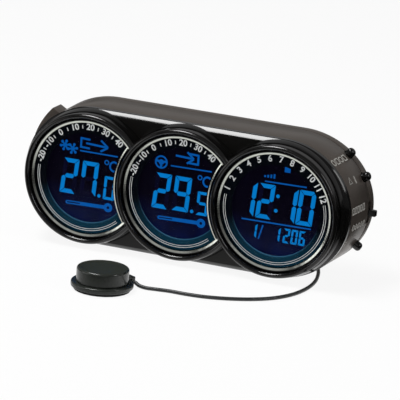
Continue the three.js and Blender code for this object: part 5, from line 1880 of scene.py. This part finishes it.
@dataclass
class Controls:
    """The keys, the colour lever and the press bar, and the openings they move in."""

    key_radius: float = 1.95
    key_proud: float = 3.1
    flange_radius: float = 3.0
    flange_thickness: float = 1.2
    flange_sink: float = 1.1
    foot_radius: float = 1.3
    foot_length: float = 1.0
    lever_z: float = -1.0
    lever_width: float = 2.6
    lever_thickness: float = 1.9
    lever_travel: float = 3.0
    lever_proud: float = 3.25
    guide_half_y: float = 2.2
    guide_half_z: float = 2.6
    fork_half_y: float = 0.8
    fork_half_z: float = 0.9
    bar_y: float = 24.4
    bar_width: float = 8.2
    bar_half: float = 22.4
    bar_slope: float = 0.55
    bar_proud: float = 3.25
    bar_rise: float = 1.3
    bar_edge: float = 0.55
    bar_flange: float = 0.9

    def surface(self, angle: float) -> float:
        """Gives the case's radius about the right display at the seam, along an angle in degrees."""
        a = math.radians(angle)
        return 1 / math.hypot(math.cos(a) / reach_at(SEAM_Y), math.sin(a) / CASE_HALF_HEIGHT)

    def radial(self, name: str, angle: float, inner: float, outer: float, radius: float) -> Piece:
        """Adds a cylinder along a radius of the right end.

        Args:
            name: the piece's name.
            angle: the radius's angle in degrees.
            inner: where it starts.
            outer: where it ends.
            radius: its own radius.

        Returns:
            The new piece.
        """
        a = math.radians(angle)
        middle = (inner + outer) / 2
        place = stand(SPACING + middle * math.cos(a), SEAM_Y, middle * math.sin(a))
        return rod(name, place, radius, outer - inner, 48, (0, math.pi / 2 - a, 0))

    def key(self, name: str, angle: float) -> None:
        """Builds one key: a round post with a domed end and a flange inside the wall.

        Args:
            name: its function.
            angle: its place on the end, in degrees.
        """
        surface = self.surface(angle)
        outer = surface + self.key_proud
        high = surface - WALL - self.flange_sink - GAP
        low = high - self.flange_thickness
        key = self.radial(f"{name}_key", angle, low, outer, self.key_radius)
        a = math.radians(angle)
        way = Vector((math.cos(a), 0, math.sin(a)))
        centre = stand(SPACING, SEAM_Y, 0)
        tip = (outer - 0.01) * MM
        ease(key, 1.5, 9, lambda spot: (spot - centre).dot(way) > tip)
        merge(key, self.radial("flange", angle, low, high, self.flange_radius),
              self.radial("foot", angle, low - self.foot_length, low + 0.2, self.foot_radius))
        present(key, Finish.KEY, f"{name}_button", "key_plastic", f"{name}_button")

    def lever_inner(self) -> float:
        """Gives where the lever's guide plate starts, clear of the wall at both ends of its travel.

        Returns:
            The place to the right, in millimetres.
        """
        end_z = abs(self.lever_z) + self.guide_half_z + self.lever_travel
        reach = (reach_at(SEAM_Y - self.guide_half_y) - WALL) * math.cos(math.pi / 36)
        return SPACING + reach * math.sqrt(1 - (end_z / (CASE_HALF_HEIGHT - WALL)) ** 2) - GAP

    def lever(self) -> None:
        """Builds the lever: a squared tab with rounded corners and a guide plate behind the wall."""
        surface = SPACING + reach_at(SEAM_Y)
        inner = self.lever_inner()
        w, t, z = self.lever_width / 2, self.lever_thickness / 2, self.lever_z
        tab = block("colour_lever_tab", (inner - 0.4, SEAM_Y - t, z - w),
                    (surface + self.lever_proud, SEAM_Y + t, z + w))
        soften(tab, 0, stand(surface + self.lever_proud, 0, 0).x, 0.45, 4)
        for name, low, high, half_y, half_z in (
                ("guide", inner - 1.4, inner, self.guide_half_y, self.guide_half_z),
                ("fork", inner - 3.2, inner - 1.3, self.fork_half_y, self.fork_half_z)):
            merge(tab, block(name, (low, SEAM_Y - half_y, z - half_z), (high, SEAM_Y + half_y, z + half_z)))
        present(tab, Finish.KEY, "colour_lever", "key_plastic", "colour_lever")

    def bar_blank(self, name: str, grow: float, inward: float, half_width: float, proud: float) -> Piece:
        """Builds a curved bar about the left end between two ellipses, cut off by sloping ends.

        Args:
            name: the piece's name.
            grow: how much farther its ends reach than the bar's own.
            inward: how far its inner face lies inside the case's surface.
            half_width: half its width along Y.
            proud: how far its outer face stands out of the case.

        Returns:
            The closed piece.
        """
        reach, height = reach_at(SEAM_Y), CASE_HALF_HEIGHT
        front, back = self.bar_y - half_width, self.bar_y + half_width
        centre = stand(-SPACING, self.bar_y, 0)
        shells = []
        for label, out, tall, extra in ((name, proud, height + proud * self.bar_rise, 0.0),
                                        ("inner", -inward, height - inward, 1.0)):
            shell = cylinder(label, -SPACING, 0, 1.0, front - extra, back + extra, 180)
            pick(shell)
            bpy.ops.transform.resize(value=(reach + out, 1, tall), center_override=centre)
            release()
            shells.append(shell)
        bar = cut(shells[0], shells[1])
        half = self.bar_half + grow
        top = height + self.bar_proud * self.bar_rise
        outer_x = -(reach + self.bar_proud) * math.sqrt(1 - (half / top) ** 2)
        for side in (1, -1):
            point = stand(-SPACING + outer_x, self.bar_y, side * half)
            pick(bar)
            bpy.ops.mesh.bisect(plane_co=point, plane_no=(self.bar_slope, 0, side), use_fill=True,
                                clear_outer=True, clear_inner=False)
            release()
        pick(bar)
        bpy.ops.mesh.bisect(plane_co=centre, plane_no=(1, 0, 0), use_fill=True, clear_outer=True)
        release()
        return mend_normals(bar)

    def press_bar(self) -> None:
        """Builds the press bar with its softened edges and the flange that keeps it in."""
        flange_half = self.bar_width / 2 + self.bar_flange
        deep = reach_at(SEAM_Y) - reach_at(self.bar_y - flange_half) + WALL + GAP
        bar = self.bar_blank("press_bar", 0.0, deep + 0.5, self.bar_width / 2, self.bar_proud)
        take(bar)
        soft = bar.modifiers.new("soft", "BEVEL")
        soft.width = self.bar_edge * MM
        soft.segments = 4
        soft.limit_method = "ANGLE"
        soft.angle_limit = math.radians(50)
        bpy.ops.object.modifier_apply(modifier=soft.name)
        merge(bar, self.bar_blank("flange", 1.2, deep + 1.3, flange_half, -deep))
        present(bar, Finish.CASE, "light_bar", "satin_case", "light_bar")

    def openings(self) -> list[Piece]:
        """Gives the tools that open the housing for keys, lever and bar.

        Returns:
            The tools.
        """
        tools = [self.radial("key_hole", angle, 22, 40, self.key_radius + GAP)
                 for angle in KEY_ANGLES.values()]
        half_z = self.lever_width / 2 + self.lever_travel + GAP
        half_y = self.lever_thickness / 2 + GAP
        tools.append(block("lever_slot", (SPACING + 22, SEAM_Y - half_y, self.lever_z - half_z),
                           (SPACING + 42, SEAM_Y + half_y, self.lever_z + half_z)))
        tools.append(self.bar_blank("bar_slot", 1.0, 6, self.bar_width / 2 + 2 * GAP, self.bar_proud))
        return tools

    def build(self) -> None:
        """Builds every control."""
        for name, angle in KEY_ANGLES.items():
            self.key(name, angle)
        self.lever()
        self.press_bar()


@dataclass
class Housing:
    """The two satin shells behind the bezel, and the battery door."""

    back_edge: float = 4.0
    tray_half_x: float = 24.9
    tray_half_z: float = 11.15
    tray_floor_y: float = 21.2
    tray_wall: float = 1.2
    door_half_x: float = 25.8
    door_half_z: float = 12.05
    door_thickness: float = 1.2
    notch_radius: float = 5.0
    vent_x: tuple[float, float] = (-47.0, -33.0)
    vent_half: float = 0.6
    vent_pitch: float = 3.0
    screw_x: float = 35.0
    screw_z: float = 21.6
    pit_radius: float = 2.6
    pit_depth: float = 3.2
    lead_hole: float = 2.4
    rim: float = 0.18
    grip_half_x: float = 6.0
    grip_half_z: float = 0.4
    grip_pitch: float = 1.5
    grip_depth: float = 0.5
    pad_x: float = 15.0

    def front_shell(self, controls: Controls) -> None:
        """Builds the front shell, open at both ends.

        Args:
            controls: the controls that it makes room for.
        """
        back = SEAM_Y - GAP / 2
        shell = stadium("front_housing_shell", 0, HOUSING_FRONT_Y, back, reach_at(HOUSING_FRONT_Y),
                        reach_at(back))
        for rim in (HOUSING_FRONT_Y, back):
            soften(shell, 1, stand(0, rim, 0).y, self.rim, 2)
        cut(shell, stadium("inside", WALL, HOUSING_FRONT_Y - 1, back + 1, reach_at(HOUSING_FRONT_Y - 1),
                           reach_at(back + 1)), *controls.openings())
        present(shell, Finish.CASE, BODY, "satin_case", "front_housing", 30)

    def rear_shell(self, controls: Controls) -> None:
        """Builds the rear shell: rounded back edge, battery tray, vents, screw pits and lead hole.

        Args:
            controls: the controls that it makes room for.
        """
        front = SEAM_Y + GAP / 2
        shell = stadium("rear_housing_shell", 0, front, CASE_BACK_Y, reach_at(front), BACK_REACH)
        soften(shell, 1, stand(0, CASE_BACK_Y, 0).y, self.back_edge, 10)
        soften(shell, 1, stand(0, front, 0).y, self.rim, 2)
        inside = stadium("inside", WALL, front - 1, CASE_BACK_Y - WALL, reach_at(front), BACK_REACH)
        soften(inside, 1, stand(0, CASE_BACK_Y - WALL, 0).y, self.back_edge - WALL, 5)
        cut(shell, inside)
        x, z, wall = self.tray_half_x, self.tray_half_z, self.tray_wall
        merge(shell, block("tray", (-x - wall, self.tray_floor_y - wall, -z - wall),
                           (x + wall, CASE_BACK_Y - WALL + 0.5, z + wall)))
        cut(shell, block("cavity", (-x, self.tray_floor_y, -z), (x, CASE_BACK_Y + 1, z)))
        recess_y = CASE_BACK_Y - self.door_thickness - GAP
        cut(shell, block("recess", (-self.door_half_x - GAP, recess_y, -self.door_half_z - GAP),
                         (self.door_half_x + GAP, CASE_BACK_Y + 1, self.door_half_z + GAP)))
        cut(shell, cylinder("notch", 0, self.door_half_z, self.notch_radius, CASE_BACK_Y - 1,
                            CASE_BACK_Y + 1, 64))
        left, right = self.vent_x
        for i in range(-2, 3):
            middle = i * self.vent_pitch
            cut(shell, block("vent", (left, CASE_BACK_Y - WALL - 1, middle - self.vent_half),
                             (right, CASE_BACK_Y + 1, middle + self.vent_half)))
        for x in (-self.screw_x, self.screw_x):
            for z in (-self.screw_z, self.screw_z):
                cut(shell, self.pit(x, z))
                merge(shell, self.pit_wall(x, z))
        cut(shell, cylinder("lead_hole", LEAD_X, LEAD_HEIGHT - CENTRE_Z, self.lead_hole, CASE_BACK_Y - 3,
                            CASE_BACK_Y + 1, 40), *controls.openings())
        present(shell, Finish.CASE, BODY, "satin_case", "rear_housing", 30)

    def pit(self, x: float, z: float) -> Piece:
        """Builds the tool for the pit over a case screw's head."""
        return cylinder("pit", x, z, self.pit_radius, CASE_BACK_Y - self.pit_depth, CASE_BACK_Y + 1, 40)

    def pit_wall(self, x: float, z: float) -> Piece:
        """Builds the tube round a case screw behind the wall."""
        tube = cylinder("tube", x, z, 3.2, SEAM_Y + 0.15, CASE_BACK_Y - WALL + 0.2, 40)
        return cut(tube, cylinder("bore", x, z, 1.4, SEAM_Y - 1, CASE_BACK_Y + 1, 32), self.pit(x, z))

    def door(self) -> None:
        """Builds the battery door with its grip grooves and the pads between the cells."""
        inner = CASE_BACK_Y - self.door_thickness
        door = block("battery_cover", (-self.door_half_x, inner, -self.door_half_z),
                     (self.door_half_x, CASE_BACK_Y, self.door_half_z))
        ease(door, 0.2, 2)
        for i in range(4):
            z = self.door_half_z - 3 - i * self.grip_pitch
            low = (-self.grip_half_x, CASE_BACK_Y - self.grip_depth, z - self.grip_half_z)
            high = (self.grip_half_x, CASE_BACK_Y + 1, z + self.grip_half_z)
            cut(door, block("groove", low, high))
        for x in (-self.pad_x, self.pad_x):
            merge(door, block("pad", (x - 4, inner - 2.0, -0.9), (x + 4, inner + 0.1, 0.9)))
        present(door, Finish.CASE, "battery_door", "satin_case", "battery_door", 30)

    def build(self, controls: Controls) -> None:
        """Builds the shells and the door, and dresses the feet.

        Args:
            controls: the controls that the shells make room for.
        """
        self.front_shell(controls)
        self.rear_shell(controls)
        self.door()
        for end in ("front", "rear"):
            for side in ("left", "right"):
                dress(frame["nodes"][f"{end}_{side}_foot"], Finish.RUBBER)


@dataclass
class SideMarks:
    """Pale printed symbols in front of the side keys: rings, squares and triangles in outline."""

    lift: float = 0.02
    depth: float = 0.05
    stroke: float = 0.5

    def flat(self, corners: int, wide: float, high: float, turn: float, depth: float) -> Piece:
        """Adds a flat shape in its own plane: a number of corners fitted to a width and a height.

        Args:
            corners: the number of corners.
            wide: the width.
            high: the height.
            turn: the turn of the corners, in radians.
            depth: the thickness.

        Returns:
            The flat shape.
        """
        piece = rod("flat", Vector(), 0.5, depth, corners, (0, 0, turn))
        across, up = piece.dimensions.x / MM, piece.dimensions.y / MM
        pick(piece)
        bpy.ops.transform.resize(value=(wide / across, high / up, 1), center_override=(0, 0, 0))
        release()
        return piece

    def mark(self, corners: int, y: float, angle: float, wide: float, high: float, turn: float = 0.0,
             filled: bool = False) -> Piece:
        """Lays a shape on the right end's surface.

        Args:
            corners: how many corners it has; many for a ring.
            y: its depth behind the lenses.
            angle: its place round the end, in degrees above the middle.
            wide: its length along the depth.
            high: its length round the end.
            turn: turn of the shape in its own plane, in radians.
            filled: solid instead of an outline.

        Returns:
            The new mark.
        """
        piece = self.flat(corners, wide, high, turn, self.depth)
        if not filled:
            cut(piece, self.flat(corners, wide - 2 * self.stroke, high - 2 * self.stroke, turn, 1.0))
        a, reach = math.radians(angle), reach_at(y)
        slope = math.atan((BACK_REACH - FRONT_REACH) / (CASE_BACK_Y - BEZEL_BACK_Y) * math.cos(a))
        facing = math.atan2(math.sin(a) / CASE_HALF_HEIGHT, math.cos(a) / reach)
        out = Vector((math.cos(facing) * math.cos(slope), -math.sin(slope),
                      math.sin(facing) * math.cos(slope)))
        along = Vector((0, 1, 0)) - out * out.y
        along.normalize()
        up = out.cross(along)
        turn_to(piece, along, up, out)
        piece.location = (stand(SPACING + reach * math.cos(a), y, CASE_HALF_HEIGHT * math.sin(a))
                          + out * (self.lift + self.depth / 2) * MM)
        take(piece)
        return named("mark")

    def build(self) -> None:
        """Builds the five rows of symbols in front of the keys and the lever."""
        square = math.pi / 4
        marks = []
        for i, corners in enumerate((24, 4, 24, 4)):
            marks.append(self.mark(corners, 9.4 + i * 3.7, 48.0, 3.0, 3.0, square if corners == 4 else 0.0))
        marks.append(self.mark(3, 13.0, 29.0, 3.2, 3.2))
        marks.append(self.mark(4, 17.6, 29.0, 1.0, 3.2, square, filled=True))
        for i in range(5):
            marks.append(self.mark(4, 9.6 + i * 2.6, 5.5, 2.0, 3.0, square))
            marks.append(self.mark(24, 11.4 + i * 2.6, -9.0, 2.0, 2.8))
        marks.append(self.mark(3, 8.6, -22.0, 3.0, 3.0, math.pi))
        piece = gather("side_symbols", marks)
        place_on(dress(piece, Finish.GREY_INK), BODY, "mask_film")


def dress_inside() -> None:
    """Gives the inner nodes their finishes."""
    choices = {
        "main_circuit_board": Finish.BOARD, "switch_board": Finish.BOARD, "light_switch_board": Finish.BOARD,
        "antenna_rod": Finish.FERRITE, "antenna_winding": Finish.WIRE, "inside_sensor": Finish.SWITCH,
    }
    endings = {
        "_screw": Finish.SCREW, "_switch": Finish.SWITCH, "_clip_left": Finish.NYLON,
        "_clip_right": Finish.NYLON, "_battery": Finish.CELL, "_battery_contact": Finish.CONTACT,
    }
    for name, node in frame["nodes"].items():
        for ending, choice in endings.items():
            if name.endswith(ending):
                dress(node, choice)
        if name in choices:
            dress(node, choices[name])


def main() -> None:
    """Builds the studio, then the clock from its lead inwards."""
    logging.basicConfig(level=logging.INFO, format="%(name)s: %(message)s")
    Studio().build()
    lead = SensorLead()
    OutdoorSensor().build()
    LeadFittings().build(lead)
    lead.build()
    controls = Controls()
    Housing().build(controls)
    controls.build()
    SideMarks().build()
    Bezel().build()
    DisplayTrim().build()
    degrees = tuple(str(i) for i in range(-20, 41, 10))
    hours = tuple(str(i) for i in range(1, 13))
    PrintedScale("left", degrees, 163, 52, 173, 312, ticks=1).build()
    PrintedScale("middle", degrees, 161, 54, 169, 310, ticks=1).build()
    PrintedScale("right", hours, 163, 23, 170, 376, ticks=0).build()
    left_readout()
    middle_readout()
    right_readout()
    dress_inside()
    release()


if __name__ == "__main__":
    main()
